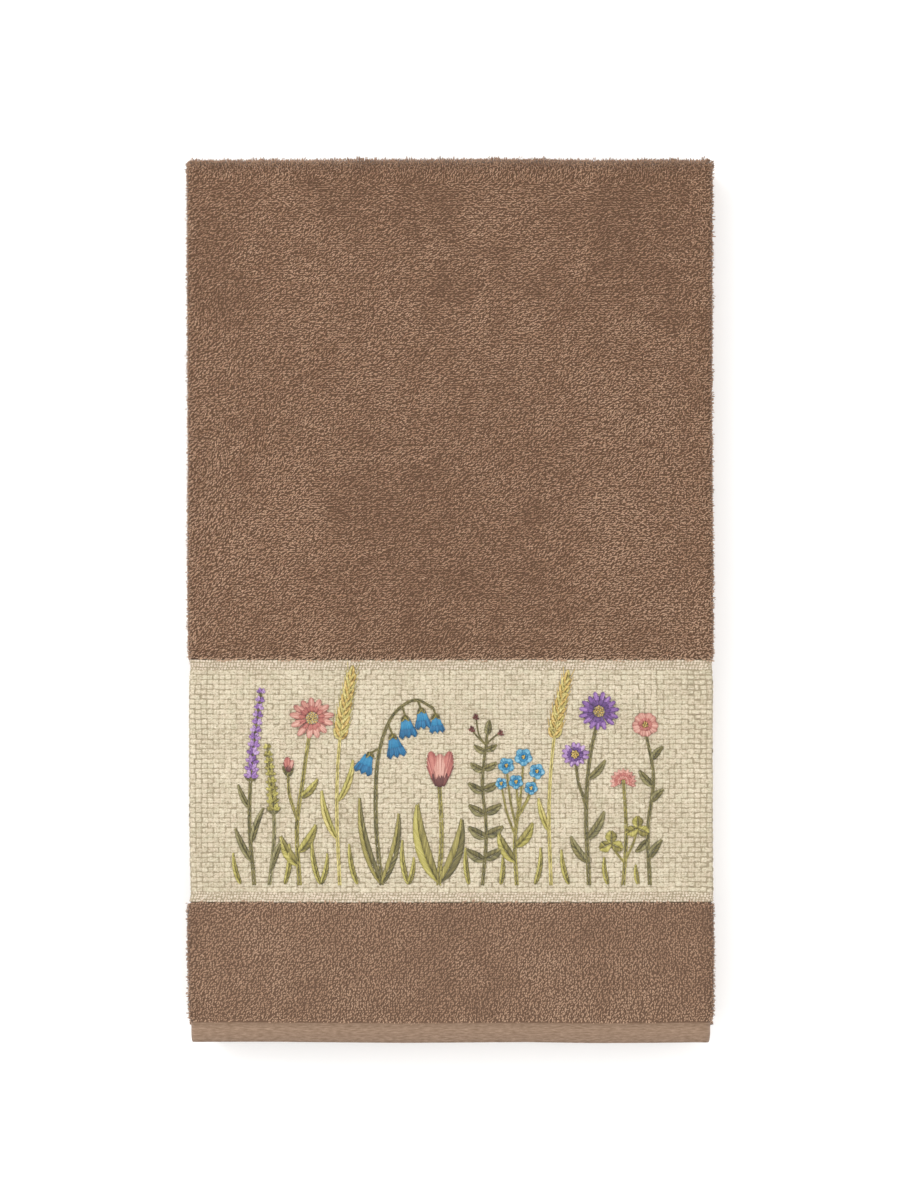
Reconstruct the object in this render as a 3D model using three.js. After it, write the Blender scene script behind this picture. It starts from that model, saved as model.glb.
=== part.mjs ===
// Bath towel, folded: a terry body with woven end hems, and a woven band sewn across it.
// Millimetres, +Z up. The towel lies on its back: its front faces +Z and its top fold faces +Y.
//
// The cloth is folded twice. First both long sides go behind, which makes the bundle: a front
// ply, a left flap under it and a right flap under that. Then the bundle is folded back and
// forth along its length into three runs: the front run (lower hem to top fold), the middle run
// (top fold to bottom fold) and the bottom run (bottom fold to the far hem), which lies on the
// surface.
//
// Every point of the cloth is found in three steps:
//   station  where it is across the cloth, from the left flap's edge to the right flap's edge
//   (u, h)   its place in the bundle: u across, h above the bundle's flap side
//   row      where it is along the cloth, from the lower hem to the far hem

import * as THREE from 'three';

// ---- Driving dimensions -------------------------------------------------------------------

const FLAT_WIDTH = 686;      // unfolded towel, selvedge to selvedge
const FRONT_LENGTH = 465.1;  // lower hem edge to top fold
const FAR_EDGE = 461;        // the far hem ends just short of the top fold
const FOLD_INSET = 6;        // the bottom fold sits this far behind the lower hem edge

const HEM = 10.4;            // height of the woven hem
const BAND_LOW = 73.6;       // lower edge of the woven band, above the hem edge
const BAND_HIGH = 201.1;     // upper edge of the woven band
const SELVEDGE = 7;          // narrow side hem, without pile

const PLY_GAP = 0.5;         // between plies of the bundle
const RUN_GAP = 0.5;         // between runs
const SEAM_GAP = 0.3;        // between the band and the cloth it is sewn to
const PLUMP = 1.8;           // how much a side fold stands open beyond its two plies

// How far the cloth reaches from its own middle line: to its reverse, and to its face.
const CLOTH = {
  terry:  { reverse: 1.5, face: 1.5 },   // ground and pile on both sides
  hem:    { reverse: 1.0, face: 1.0 },   // flat cloth turned twice
  ground: { reverse: 1.5, face: -0.5 },  // under the band: no pile on the face
  edge:   { reverse: 0.8, face: 0.8 },   // side hem
};
const BAND = { inside: CLOTH.ground.face + SEAM_GAP, outside: 0.8 };

// Middle of the cloth at the side folds: the outline as it lies, a row per height.
const SIDES = [
  { y: 0,     left: 134.8, right: 134.9 },
  { y: 4,     left: 135.4, right: 136.2 },
  { y: 9.8,   left: 135.6, right: 136.3 },
  { y: 14,    left: 137.0, right: 137.4 },
  { y: 45,    left: 137.5, right: 137.9 },
  { y: 70,    left: 137.6, right: 138.1 },
  { y: 78,    left: 136.3, right: 138.0 },
  { y: 110,   left: 136.6, right: 137.6 },
  { y: 160,   left: 136.7, right: 137.5 },
  { y: 196,   left: 136.7, right: 137.6 },
  { y: 204,   left: 137.2, right: 138.1 },
  { y: 250,   left: 137.5, right: 137.8 },
  { y: 300,   left: 137.2, right: 137.3 },
  { y: 350,   left: 137.2, right: 137.1 },
  { y: 410,   left: 137.4, right: 137.4 },
  { y: 466,   left: 137.4, right: 137.2 },
];

// How far the top fold and the lower hem edge stray from straight, a row per place across.
const ENDS = [
  { u: -140, top: -0.3, low: 0.0 },
  { u: -90,  top: -0.1, low: 0.5 },
  { u: -50,  top: 0.0,  low: -0.1 },
  { u: -25,  top: 0.0,  low: -0.4 },
  { u: 25,   top: 0.3,  low: 0.0 },
  { u: 75,   top: -0.3, low: -0.4 },
  { u: 110,  top: 0.0,  low: -0.2 },
  { u: 140,  top: -0.3, low: 0.1 },
];

// Soft swells of the front ply, which lies over the folds beneath it.
const SWELLS = [
  { u: -62, y: 330, wide: 46, tall: 60,  high: 0.5 },
  { u: 48,  y: 395, wide: 52, tall: 38,  high: 0.4 },
  { u: 70,  y: 262, wide: 40, tall: 48,  high: 0.5 },
  { u: -20, y: 238, wide: 60, tall: 26,  high: 0.3 },
  { u: -85, y: 42,  wide: 30, tall: 16,  high: 0.4 },
  { u: 40,  y: 38,  wide: 48, tall: 16,  high: 0.4 },
];

const CROWN_FROM = 68;       // all three plies lie inside this, either side of the middle
const CROWN_TO = 133;        // only two plies are left at the side folds
const FLAP_SETTLES = 30;     // the left flap comes down over this width past the right flap
const HEM_DROOP = 1.2;       // the lower edge hangs a little where nothing is under it

// ---- Small helpers ------------------------------------------------------------------------

const mix = (a, b, t) => a + (b - a) * t;
const ease = (from, to, x) => {
  const t = Math.min(1, Math.max(0, (x - from) / (to - from)));
  return t * t * (3 - 2 * t);
};
// Straight lines between the rows of a table.
const along = (rows, key, x, column) => {
  if (x <= rows[0][key]) return rows[0][column];
  for (let i = 1; i < rows.length; i++) {
    if (x <= rows[i][key]) {
      const t = (x - rows[i - 1][key]) / (rows[i][key] - rows[i - 1][key]);
      return mix(rows[i - 1][column], rows[i][column], t);
    }
  }
  return rows[rows.length - 1][column];
};

// ---- The bundle's thickness ---------------------------------------------------------------

// What the plies of the bundle take up, from terry towards the band or the hem.
function lie(y) {
  const band = ease(BAND_LOW, BAND_LOW + 9, y) * (1 - ease(BAND_HIGH - 9, BAND_HIGH, y));
  const hem = 1 - ease(1, HEM, y);
  const reverse = mix(CLOTH.terry.reverse, CLOTH.hem.reverse, hem);
  const face = mix(mix(CLOTH.terry.face, BAND.outside, band), CLOTH.hem.face, hem);
  return {
    reverse,
    face,
    three: 3 * (reverse + face) + 2 * PLY_GAP,
    two: 2 * (reverse + face) + PLY_GAP + PLUMP,
  };
}
const LIE_TERRY = lie(40);

const crown = (u) => 1 - ease(CROWN_FROM, CROWN_TO, Math.abs(u));
const bundleHeight = (l, u) => mix(l.two, l.three, crown(u));
const swell = (u, y) =>
  SWELLS.reduce((sum, s) => sum + s.high * Math.exp(-(((u - s.u) / s.wide) ** 2) - ((y - s.y) / s.tall) ** 2), 0);

// ---- Rows: places along the cloth ---------------------------------------------------------

// Front run, from the lower hem edge up. A pair of close rows is a step in the cloth.
const FRONT_ROWS = [
  { y: 0,               cloth: 'hem' },
  { y: 4.5,             cloth: 'hem' },
  { y: HEM - 0.3,       cloth: 'hem' },
  { y: HEM + 0.4,       cloth: 'terry' },
  { y: 15,              cloth: 'terry' },
  { y: 22,              cloth: 'terry' },
  { y: 45,              cloth: 'terry' },
  { y: BAND_LOW - 1.2,  cloth: 'terry' },
  { y: BAND_LOW - 0.4,  cloth: 'ground' },
  { y: BAND_LOW,        cloth: 'ground', band: true },
  { y: BAND_LOW + 9,    cloth: 'ground', band: true },
  { y: 110,             cloth: 'ground', band: true },
  { y: 160,             cloth: 'ground', band: true },
  { y: BAND_HIGH - 9,   cloth: 'ground', band: true },
  { y: BAND_HIGH,       cloth: 'ground', band: true },
  { y: BAND_HIGH + 0.4, cloth: 'ground' },
  { y: BAND_HIGH + 1.2, cloth: 'terry' },
  { y: 240,             cloth: 'terry' },
  { y: 290,             cloth: 'terry' },
  { y: 345,             cloth: 'terry' },
  { y: 400,             cloth: 'terry' },
  { y: 435,             cloth: 'terry' },
];
const TURN_STEPS = 8;        // facets round each end fold
const MIDDLE_STEPS = 3;      // lengths of the middle run
const BOTTOM_ROWS = [
  { y: 150,                 cloth: 'terry' },
  { y: 300,                 cloth: 'terry' },
  { y: FAR_EDGE - HEM - 0.4, cloth: 'terry' },
  { y: FAR_EDGE - HEM + 0.3, cloth: 'hem' },
  { y: FAR_EDGE,            cloth: 'hem' },
];

function rowsAlongCloth() {
  const rows = [];
  for (const r of FRONT_ROWS) rows.push({ run: 'front', ...r });
  for (let i = 0; i <= TURN_STEPS; i++) rows.push({ run: 'top', turn: (Math.PI * i) / TURN_STEPS, cloth: 'terry' });
  for (let i = 1; i < MIDDLE_STEPS; i++) rows.push({ run: 'middle', part: i / MIDDLE_STEPS, cloth: 'terry' });
  for (let i = 0; i <= TURN_STEPS; i++) rows.push({ run: 'low', turn: (Math.PI * i) / TURN_STEPS, cloth: 'terry' });
  for (const r of BOTTOM_ROWS) rows.push({ run: 'bottom', ...r });
  return rows;
}

// The height up the towel that a row's sides and swells are read at.
function heightOf(row) {
  if (row.run === 'front' || row.run === 'bottom') return row.y;
  if (row.run === 'top') return FRONT_LENGTH;
  if (row.run === 'middle') return mix(FRONT_LENGTH, 20, row.part);
  return 20;
}

// Turns a place in the bundle into a place in the folded towel.
function place(row, u, h) {
  const t = bundleHeight(LIE_TERRY, u);
  const topTurn = FRONT_LENGTH + along(ENDS, 'u', u, 'top') - RUN_GAP / 2 - t;
  const lowTurn = FOLD_INSET + RUN_GAP / 2 + t;
  if (row.run === 'front') {
    const stray = along(ENDS, 'u', u, 'low') * (1 - ease(0, 24, row.y));
    const droop = HEM_DROOP * (1 - ease(0, 18, row.y));
    return new THREE.Vector3(u, row.y + stray, 2 * t + 2 * RUN_GAP + h - droop);
  }
  if (row.run === 'top') {
    const r = RUN_GAP / 2 + h;
    return new THREE.Vector3(u, topTurn + r * Math.sin(row.turn), 2 * t + 1.5 * RUN_GAP + r * Math.cos(row.turn));
  }
  if (row.run === 'middle') {
    return new THREE.Vector3(u, mix(topTurn, lowTurn, row.part), 2 * t + RUN_GAP - h);
  }
  if (row.run === 'low') {
    const r = RUN_GAP / 2 + t - h;
    return new THREE.Vector3(u, lowTurn - r * Math.sin(row.turn), t + RUN_GAP / 2 + r * Math.cos(row.turn));
  }
  return new THREE.Vector3(u, row.y, h);
}

// ---- Stations: places across the cloth ----------------------------------------------------

// Straight stretches of the three plies, by their place across the towel.
const FRONT_STATIONS = [-120, -104, -86, -68, -34, 0, 34, 68, 86, 104, 120];
const LEFT_FLAP_STATIONS = [34, -20, -69, -79, -89, -99, -118];   // from the flap's edge out to the fold
const RIGHT_FLAP_STATIONS = [120, 104, 86, 68, -5];                // from the fold in to the flap's edge
const SIDE_TURN_STEPS = 6;   // facets round each side fold

// Flap width that gives the unfolded towel its full width.
function flapReach() {
  const radius = (LIE_TERRY.two - 2 * LIE_TERRY.face) / 2;
  const straight = 137.4 + 137.4 - 2 * radius;
  const flap = (FLAT_WIDTH - straight - 2 * Math.PI * radius) / 2;
  return 137.4 - radius - flap;   // where a flap's edge lies, past the middle if negative
}
const FLAP_EDGE = flapReach();    // right flap's edge; the left flap's is its mirror

// The middle line of the cloth across one row: points, normals towards the face, and whether
// the place is on a side hem.
function section(row) {
  const y = heightOf(row);
  const l = row.run === 'front' || row.run === 'bottom' ? lieOf(row) : LIE_TERRY;
  const lowPly = l.face;                                    // right flap, and both flaps by the folds
  const midPly = l.face + l.reverse + l.face + PLY_GAP;     // left flap over the right flap
  const topPly = (u) => bundleHeight(l, u) - l.face + (row.run === 'front' ? swell(u, row.y) * (1 - ease(110, 128, Math.abs(u))) : 0);
  const leftFlap = (u) => mix(lowPly, midPly, ease(FLAP_EDGE - 3 - FLAP_SETTLES, FLAP_EDGE - 3, u));
  const radius = (l.two - 2 * l.face) / 2;
  const left = along(SIDES, 'y', y, 'left') - radius;
  const right = along(SIDES, 'y', y, 'right') - radius;
  const out = [];
  const straight = (u, ply, facing, edge = false) => {
    const slope = (ply(u + 0.5) - ply(u - 0.5)) / 1;
    const n = new THREE.Vector2(-slope, 1).normalize().multiplyScalar(facing);
    out.push({ u, h: ply(u), n, edge });
  };
  const low = () => lowPly;
  straight(-FLAP_EDGE, leftFlap, -1, true);
  straight(-FLAP_EDGE - SELVEDGE, leftFlap, -1, true);
  straight(-FLAP_EDGE - SELVEDGE - 1, leftFlap, -1);
  for (const u of LEFT_FLAP_STATIONS) straight(u, leftFlap, -1);
  for (let i = 0; i <= SIDE_TURN_STEPS; i++) {
    const a = -Math.PI / 2 - (Math.PI * i) / SIDE_TURN_STEPS;
    const n = new THREE.Vector2(Math.cos(a), Math.sin(a));
    out.push({ u: -left + radius * n.x, h: lowPly + radius + radius * n.y, n, edge: false });
  }
  for (const u of FRONT_STATIONS) straight(u, topPly, 1);
  for (let i = 0; i <= SIDE_TURN_STEPS; i++) {
    const a = Math.PI / 2 - (Math.PI * i) / SIDE_TURN_STEPS;
    const n = new THREE.Vector2(Math.cos(a), Math.sin(a));
    out.push({ u: right + radius * n.x, h: lowPly + radius + radius * n.y, n, edge: false });
  }
  for (const u of RIGHT_FLAP_STATIONS) straight(u, low, -1);
  straight(FLAP_EDGE + SELVEDGE + 1, low, -1);
  straight(FLAP_EDGE + SELVEDGE, low, -1, true);
  straight(FLAP_EDGE, low, -1, true);
  return out;
}
const lieOf = (row) => (row.run === 'front' ? lie(row.y) : lie(FAR_EDGE - row.y < 20 ? FAR_EDGE - row.y : 40));

// ---- Solids -------------------------------------------------------------------------------

// A closed sheet: for each row a line of inner and a line of outer points, joined row to row.
function sheet(rows, reach) {
  const points = [];
  const index = [];
  const tidy = (v) => { if (Math.abs(v.z) < 1e-6) v.z = 0; return v; };
  for (const row of rows) {
    const stations = section(row);
    const sides = [-1, 1].map((side) =>
      stations.map((s) => {
        const d = reach(row, s)[side < 0 ? 0 : 1];
        return tidy(place(row, s.u + s.n.x * d, s.h + s.n.y * d));
      }));
    points.push(...sides[0], ...sides[1]);
  }
  const count = points.length / rows.length / 2;
  const at = (j, side, i) => j * 2 * count + side * count + i;
  const quad = (a, b, c, d) => index.push(a, b, c, a, c, d);
  for (let j = 0; j + 1 < rows.length; j++) {
    for (let i = 0; i + 1 < count; i++) {
      quad(at(j, 1, i), at(j, 1, i + 1), at(j + 1, 1, i + 1), at(j + 1, 1, i));
      quad(at(j, 0, i), at(j + 1, 0, i), at(j + 1, 0, i + 1), at(j, 0, i + 1));
    }
    quad(at(j, 0, 0), at(j, 1, 0), at(j + 1, 1, 0), at(j + 1, 0, 0));
    quad(at(j, 1, count - 1), at(j, 0, count - 1), at(j + 1, 0, count - 1), at(j + 1, 1, count - 1));
  }
  const last = rows.length - 1;
  for (let i = 0; i + 1 < count; i++) {
    quad(at(0, 0, i), at(0, 0, i + 1), at(0, 1, i + 1), at(0, 1, i));
    quad(at(last, 0, i + 1), at(last, 0, i), at(last, 1, i), at(last, 1, i + 1));
  }
  const geometry = new THREE.BufferGeometry();
  geometry.setAttribute('position', new THREE.Float32BufferAttribute(points.flatMap((p) => [p.x, p.y, p.z]), 3));
  geometry.setIndex(index);
  geometry.computeVertexNormals();
  return geometry;
}

const rows = rowsAlongCloth();
const bodyReach = (row, s) => {
  const c = CLOTH[row.cloth];
  if (!s.edge || row.cloth !== 'terry') return [-c.reverse, c.face];
  return [-CLOTH.edge.reverse, CLOTH.edge.face];
};

const body = new THREE.Mesh(
  sheet(rows, bodyReach),
  new THREE.MeshStandardMaterial({ color: 0x8f735e, roughness: 1.0, metalness: 0.0 }),
);
body.name = 'towel_body';

const band = new THREE.Mesh(
  sheet(rows.filter((r) => r.band), () => [BAND.inside, BAND.outside]),
  new THREE.MeshStandardMaterial({ color: 0xdccfae, roughness: 0.9, metalness: 0.0 }),
);
band.name = 'woven_band';

// Origin under the middle of the folded towel, on the surface it lies on.
const towel = new THREE.Group();
towel.add(body, band);
const box = new THREE.Box3().setFromObject(towel);
towel.position.set(-(box.min.x + box.max.x) / 2, -(box.min.y + box.max.y) / 2, -box.min.z);
towel.updateMatrixWorld(true);

export default towel;
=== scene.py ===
"""A folded cotton bath towel: terry pile, woven hem, basket-weave band and stitched flowers.

The towel lies on its back with its front up. Lengths in this file are millimetres until a mesh
is made. Everything on the towel is placed in three numbers that belong to the cloth:

    a  across the cloth, from the left flap's edge (0) to the right flap's edge (686)
    s  along the cloth, from the lower hem edge (0), over the top fold and back, to the far hem
    d  off the middle of the cloth, towards its face

cloth(a, s, d) turns them into a place in the folded towel.
"""

import math

import bpy
import numpy as np
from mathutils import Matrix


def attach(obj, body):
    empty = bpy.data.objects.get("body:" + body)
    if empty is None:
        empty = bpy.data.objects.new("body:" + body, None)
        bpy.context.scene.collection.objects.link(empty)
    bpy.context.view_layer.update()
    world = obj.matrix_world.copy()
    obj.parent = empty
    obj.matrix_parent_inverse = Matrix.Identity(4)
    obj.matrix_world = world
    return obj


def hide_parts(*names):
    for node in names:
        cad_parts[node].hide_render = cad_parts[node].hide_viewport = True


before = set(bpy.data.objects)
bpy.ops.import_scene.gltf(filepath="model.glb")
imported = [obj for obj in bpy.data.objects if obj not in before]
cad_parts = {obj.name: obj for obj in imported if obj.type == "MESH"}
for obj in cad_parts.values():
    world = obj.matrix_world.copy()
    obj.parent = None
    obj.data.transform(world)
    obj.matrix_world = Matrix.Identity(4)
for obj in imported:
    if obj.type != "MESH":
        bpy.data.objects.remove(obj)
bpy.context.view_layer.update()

# ---- Sizes of the cloth and its folds -----------------------------------------------------

FLAT_WIDTH = 686.0
FRONT_LENGTH = 465.1
FAR_EDGE = 461.0
FOLD_INSET = 6.0
HEM = 10.4
BAND_LOW, BAND_HIGH = 73.6, 201.1
SELVEDGE = 7.0
PLY_GAP, RUN_GAP, PLUMP = 0.5, 0.5, 1.8
TERRY, HEM_CLOTH, BAND_FACE, GROUND_FACE = 1.5, 1.0, 0.8, -0.5
CROWN_FROM, CROWN_TO, FLAP_SETTLES, HEM_DROOP = 68.0, 133.0, 30.0, 1.2
ORIGIN = np.array([-0.285, -232.466, 0.0])

# Middle of the cloth at the side folds: height up the towel, left, right.
SIDES = np.array([
    (0, 135.1, 135.5), (4, 135.4, 136.1), (9.8, 135.3, 136.0), (14, 136.9, 137.9),
    (45, 137.5, 138.2), (70, 137.6, 138.0), (78, 136.1, 138.1), (110, 136.8, 137.9),
    (160, 137.0, 137.8), (188, 136.9, 138.0), (197, 136.3, 137.4), (204, 137.2, 137.9), (250, 137.6, 137.8),
    (300, 137.3, 137.4), (350, 137.5, 137.2), (410, 137.7, 137.4), (466, 137.8, 137.4),
])
# How far the top fold and the lower edge stray: place across, top, low.
ENDS = np.array([
    (-141, -0.8, -0.3), (-132, -0.4, -0.2), (-90, -0.4, 0.1), (-50, -0.3, -0.2), (-25, -0.2, -0.4),
    (40, 0.1, 0.0), (75, -0.5, -0.5), (110, -0.2, -0.6), (132, -0.3, -0.4), (141, -1.5, -0.7),
])
# Soft swells of the front: place across, height, half width, half height, how high.
SWELLS = [
    (-62, 330, 46, 60, 0.5), (48, 395, 52, 38, 0.4), (70, 262, 40, 48, 0.5),
    (-20, 238, 60, 26, 0.3), (-85, 42, 30, 16, 0.4), (40, 38, 48, 16, 0.4),
]

LOOP_ACROSS, LOOP_ALONG = 1.16, 1.20     # pitch of the pile that shows in front
BACK_ACROSS, BACK_ALONG = 1.50, 1.62     # pitch of the pile on the runs behind
NET_ACROSS, NET_ALONG = 3.2, 2.6         # pitch of the paired threads of the band
EDGE_STRIP = 5.3                         # closer weave along both edges of the band


def mix(a, b, t):
    return a + (b - a) * t


def ease(low, high, x):
    t = np.clip((np.asarray(x, float) - low) / (high - low), 0, 1)
    return t * t * (3 - 2 * t)


def lie(y):
    """What the plies take up at a height: reverse, face, three plies, two plies."""
    band = ease(BAND_LOW, BAND_LOW + 9, y) * (1 - ease(BAND_HIGH - 9, BAND_HIGH, y))
    hem = 1 - ease(1, HEM, y)
    reverse = mix(TERRY, HEM_CLOTH, hem)
    face = mix(mix(TERRY, BAND_FACE, band), HEM_CLOTH, hem)
    return reverse, face, 3 * (reverse + face) + 2 * PLY_GAP, 2 * (reverse + face) + PLY_GAP + PLUMP


def crown(u):
    return 1 - ease(CROWN_FROM, CROWN_TO, np.abs(u))


TERRY_TWO, TERRY_THREE = 8.3, 10.0
FOLD_RADIUS = 2.65
FOLD_AT = 134.75                                   # where the side folds begin, either side
FLAP_EDGE = -(FLAT_WIDTH - 2 * FOLD_AT - 2 * math.pi * FOLD_RADIUS) / 2 + FOLD_AT
A1 = FOLD_AT - FLAP_EDGE                           # left flap ends, left fold begins
A2 = A1 + math.pi * FOLD_RADIUS                    # front begins
A3 = A2 + 2 * FOLD_AT                              # front ends
A4 = A3 + math.pi * FOLD_RADIUS                    # right flap begins
S1 = 455.0                                         # front run ends, top fold begins
TURN = 27.5                                        # cloth used by each end fold
S2 = S1 + TURN
S3 = S2 + 438.6                                    # middle run ends, bottom fold begins
S4 = S3 + TURN
LOW_TURN = FOLD_INSET + RUN_GAP / 2 + TERRY_THREE
S5 = S4 + FAR_EDGE - LOW_TURN                      # far hem edge


def cloth(a, s, d):
    """Places of the folded cloth, in millimetres, with the origin of the frame."""
    a, s, d = np.broadcast_arrays(np.asarray(a, float), np.asarray(s, float), np.asarray(d, float))
    front, top = s <= S1, (s > S1) & (s <= S2)
    middle, low, bottom = (s > S2) & (s <= S3), (s > S3) & (s <= S4), s > S4
    back = s - S4 + LOW_TURN                       # height up the towel in the bottom run
    part = np.clip((s - S2) / (S3 - S2), 0, 1)
    height = np.select([front, top, middle, low], [s, FRONT_LENGTH, mix(FRONT_LENGTH, 20, part), 20], back)
    from_hem = np.select([front, bottom], [s, np.where(FAR_EDGE - back < 20, FAR_EDGE - back, 40)], 40)
    reverse, face, three, two = lie(from_hem)
    radius = (two - 2 * face) / 2
    # The runs behind are a little narrower, so that they stay hidden under the front.
    inset = (0.5 + 1.1 * ease(58, 70, height) * (1 - ease(204, 216, height))) * ease(S1, S2, s)
    left = np.interp(height, SIDES[:, 0], SIDES[:, 1]) - radius - inset
    right = np.interp(height, SIDES[:, 0], SIDES[:, 2]) - radius - inset
    low_ply, mid_ply = face, 2 * face + reverse + PLY_GAP

    def fitted(u):
        """Stretches the outer part of a ply to its row's own fold."""
        out = np.where(u < -118, -118 + (u + 118) * (left - 118) / (FOLD_AT - 118), u)
        return np.where(u > 118, 118 + (u - 118) * (right - 118) / (FOLD_AT - 118), out)

    def front_ply(u):
        swell = sum(h * np.exp(-((u - c) / w) ** 2 - ((s - y) / t) ** 2) for c, y, w, t, h in SWELLS)
        fade = (1 - ease(110, 128, np.abs(u))) * (1 - ease(435, S1, s)) * front
        return mix(two, three, crown(u)) - face + swell * fade

    def left_flap(u):
        return mix(low_ply, mid_ply, ease(FLAP_EDGE - 3 - FLAP_SETTLES, FLAP_EDGE - 3, u))

    def right_flap(u):
        return low_ply + 0 * u

    u = np.zeros_like(a)
    h = np.zeros_like(a)
    nx = np.zeros_like(a)
    ny = np.ones_like(a)
    for where, flat, ply, facing in (
        (a < A1, -FLAP_EDGE - a, left_flap, -1),
        ((a >= A2) & (a <= A3), a - A2 - FOLD_AT, front_ply, 1),
        (a > A4, FOLD_AT - (a - A4), right_flap, -1),
    ):
        v = fitted(flat)
        slope = ply(v + 0.5) - ply(v - 0.5)
        length = np.hypot(slope, 1)
        u, h = np.where(where, v, u), np.where(where, ply(v), h)
        nx, ny = np.where(where, -slope / length * facing, nx), np.where(where, facing / length, ny)
    for where, turn, centre in (
        ((a >= A1) & (a < A2), -np.pi / 2 - np.pi * (a - A1) / (A2 - A1), -left),
        ((a > A3) & (a <= A4), np.pi / 2 - np.pi * (a - A3) / (A4 - A3), right),
    ):
        c, k = np.cos(turn), np.sin(turn)
        u = np.where(where, centre + radius * c, u)
        h = np.where(where, low_ply + radius + radius * k, h)
        nx, ny = np.where(where, c, nx), np.where(where, k, ny)
    u, h = u + nx * d, h + ny * d

    t = mix(TERRY_TWO, TERRY_THREE, crown(u))
    top_turn = FRONT_LENGTH + np.interp(u, ENDS[:, 0], ENDS[:, 1]) - RUN_GAP / 2 - t
    low_turn = FOLD_INSET + RUN_GAP / 2 + t
    stray = np.interp(u, ENDS[:, 0], ENDS[:, 2]) * (1 - ease(0, 24, s))
    droop = HEM_DROOP * (1 - ease(0, 18, s))
    y_front = np.where(s <= 435, s, 435 + (s - 435) * (top_turn - 435) / (S1 - 435)) + stray
    # The corners of the top fold are pushed out, because the cloth is doubled there both ways.
    corner = 1.35 * ease(131.5, 139.5, np.abs(u)) * ease(432, S1 + 2, s) * (1 - ease(S2 - 4, S2 + 26, s))
    z_front = 2 * t + 2 * RUN_GAP + h - droop
    phi = np.pi * np.clip((s - S1) / TURN, 0, 1)
    psi = np.pi * np.clip((s - S3) / TURN, 0, 1)
    r_top, r_low = RUN_GAP / 2 + h, RUN_GAP / 2 + t - h
    y_bottom = np.where(back >= 150, back, low_turn + (back - LOW_TURN) / (150 - LOW_TURN) * (150 - low_turn))
    y = np.select(
        [front, top, middle, low],
        [y_front, top_turn + r_top * np.sin(phi), mix(top_turn, low_turn, part), low_turn - r_low * np.sin(psi)],
        y_bottom,
    )
    z = np.select(
        [front, top, middle, low],
        [z_front, 2 * t + 1.5 * RUN_GAP + r_top * np.cos(phi), 2 * t + RUN_GAP - h, t + RUN_GAP / 2 + r_low * np.cos(psi)],
        h,
    )
    return np.stack([u, y + corner, np.maximum(z, 0)], -1) + ORIGIN


def noise(x, y, size, seed):
    """Soft noise from -1 to 1 with features about `size` across."""
    grid = np.random.default_rng(seed).uniform(-1, 1, (128, 128))
    gx, gy = np.asarray(x, float) / size + 31.3, np.asarray(y, float) / size + 47.7
    ix, iy = np.floor(gx).astype(int), np.floor(gy).astype(int)
    fx, fy = gx - ix, gy - iy
    fx, fy = fx * fx * (3 - 2 * fx), fy * fy * (3 - 2 * fy)
    at = lambda i, j: grid[i % 128, j % 128]
    return mix(mix(at(ix, iy), at(ix + 1, iy), fx), mix(at(ix, iy + 1), at(ix + 1, iy + 1), fx), fy)


# ---- Meshes -------------------------------------------------------------------------------


def mesh_piece(name, points, quads, uv, material, values):
    """A mesh object from arrays of points (mm), four-cornered faces, and values by point."""
    mesh = bpy.data.meshes.new(name)
    mesh.vertices.add(len(points))
    mesh.vertices.foreach_set("co", (np.asarray(points) * 0.001).astype(np.float32).ravel())
    mesh.loops.add(quads.size)
    mesh.loops.foreach_set("vertex_index", quads.astype(np.int32).ravel())
    mesh.polygons.add(len(quads))
    mesh.polygons.foreach_set("loop_start", (np.arange(len(quads)) * 4).astype(np.int32))
    mesh.update(calc_edges=True)
    mesh.polygons.foreach_set("use_smooth", np.ones(len(quads), bool))
    layer = mesh.uv_layers.new(name="OFBake")
    layer.data.foreach_set("uv", uv.astype(np.float32).ravel())
    for key, value in values.items():
        attribute = mesh.attributes.new(key, "FLOAT", "POINT")
        attribute.data.foreach_set("value", np.asarray(value, np.float32).ravel())
    mesh.materials.append(material)
    piece = bpy.data.objects.new(name, mesh)
    bpy.context.scene.collection.objects.link(piece)
    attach(piece, "root")
    return piece


# Cross-sections of a strand, seen end on: how far to the side, how far down its flank.
FACET_3 = np.array([(-1, 1), (0, 0), (1, 1)], float)
FACET_4 = np.array([(-1, 1), (-0.5, 0.08), (0.5, 0.08), (1, 1)], float)
FACET_PAIR = np.array([(-1, 1), (-0.5, 0.05), (0, 0.6), (0.5, 0.05), (1, 1)], float)   # two side by side


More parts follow.
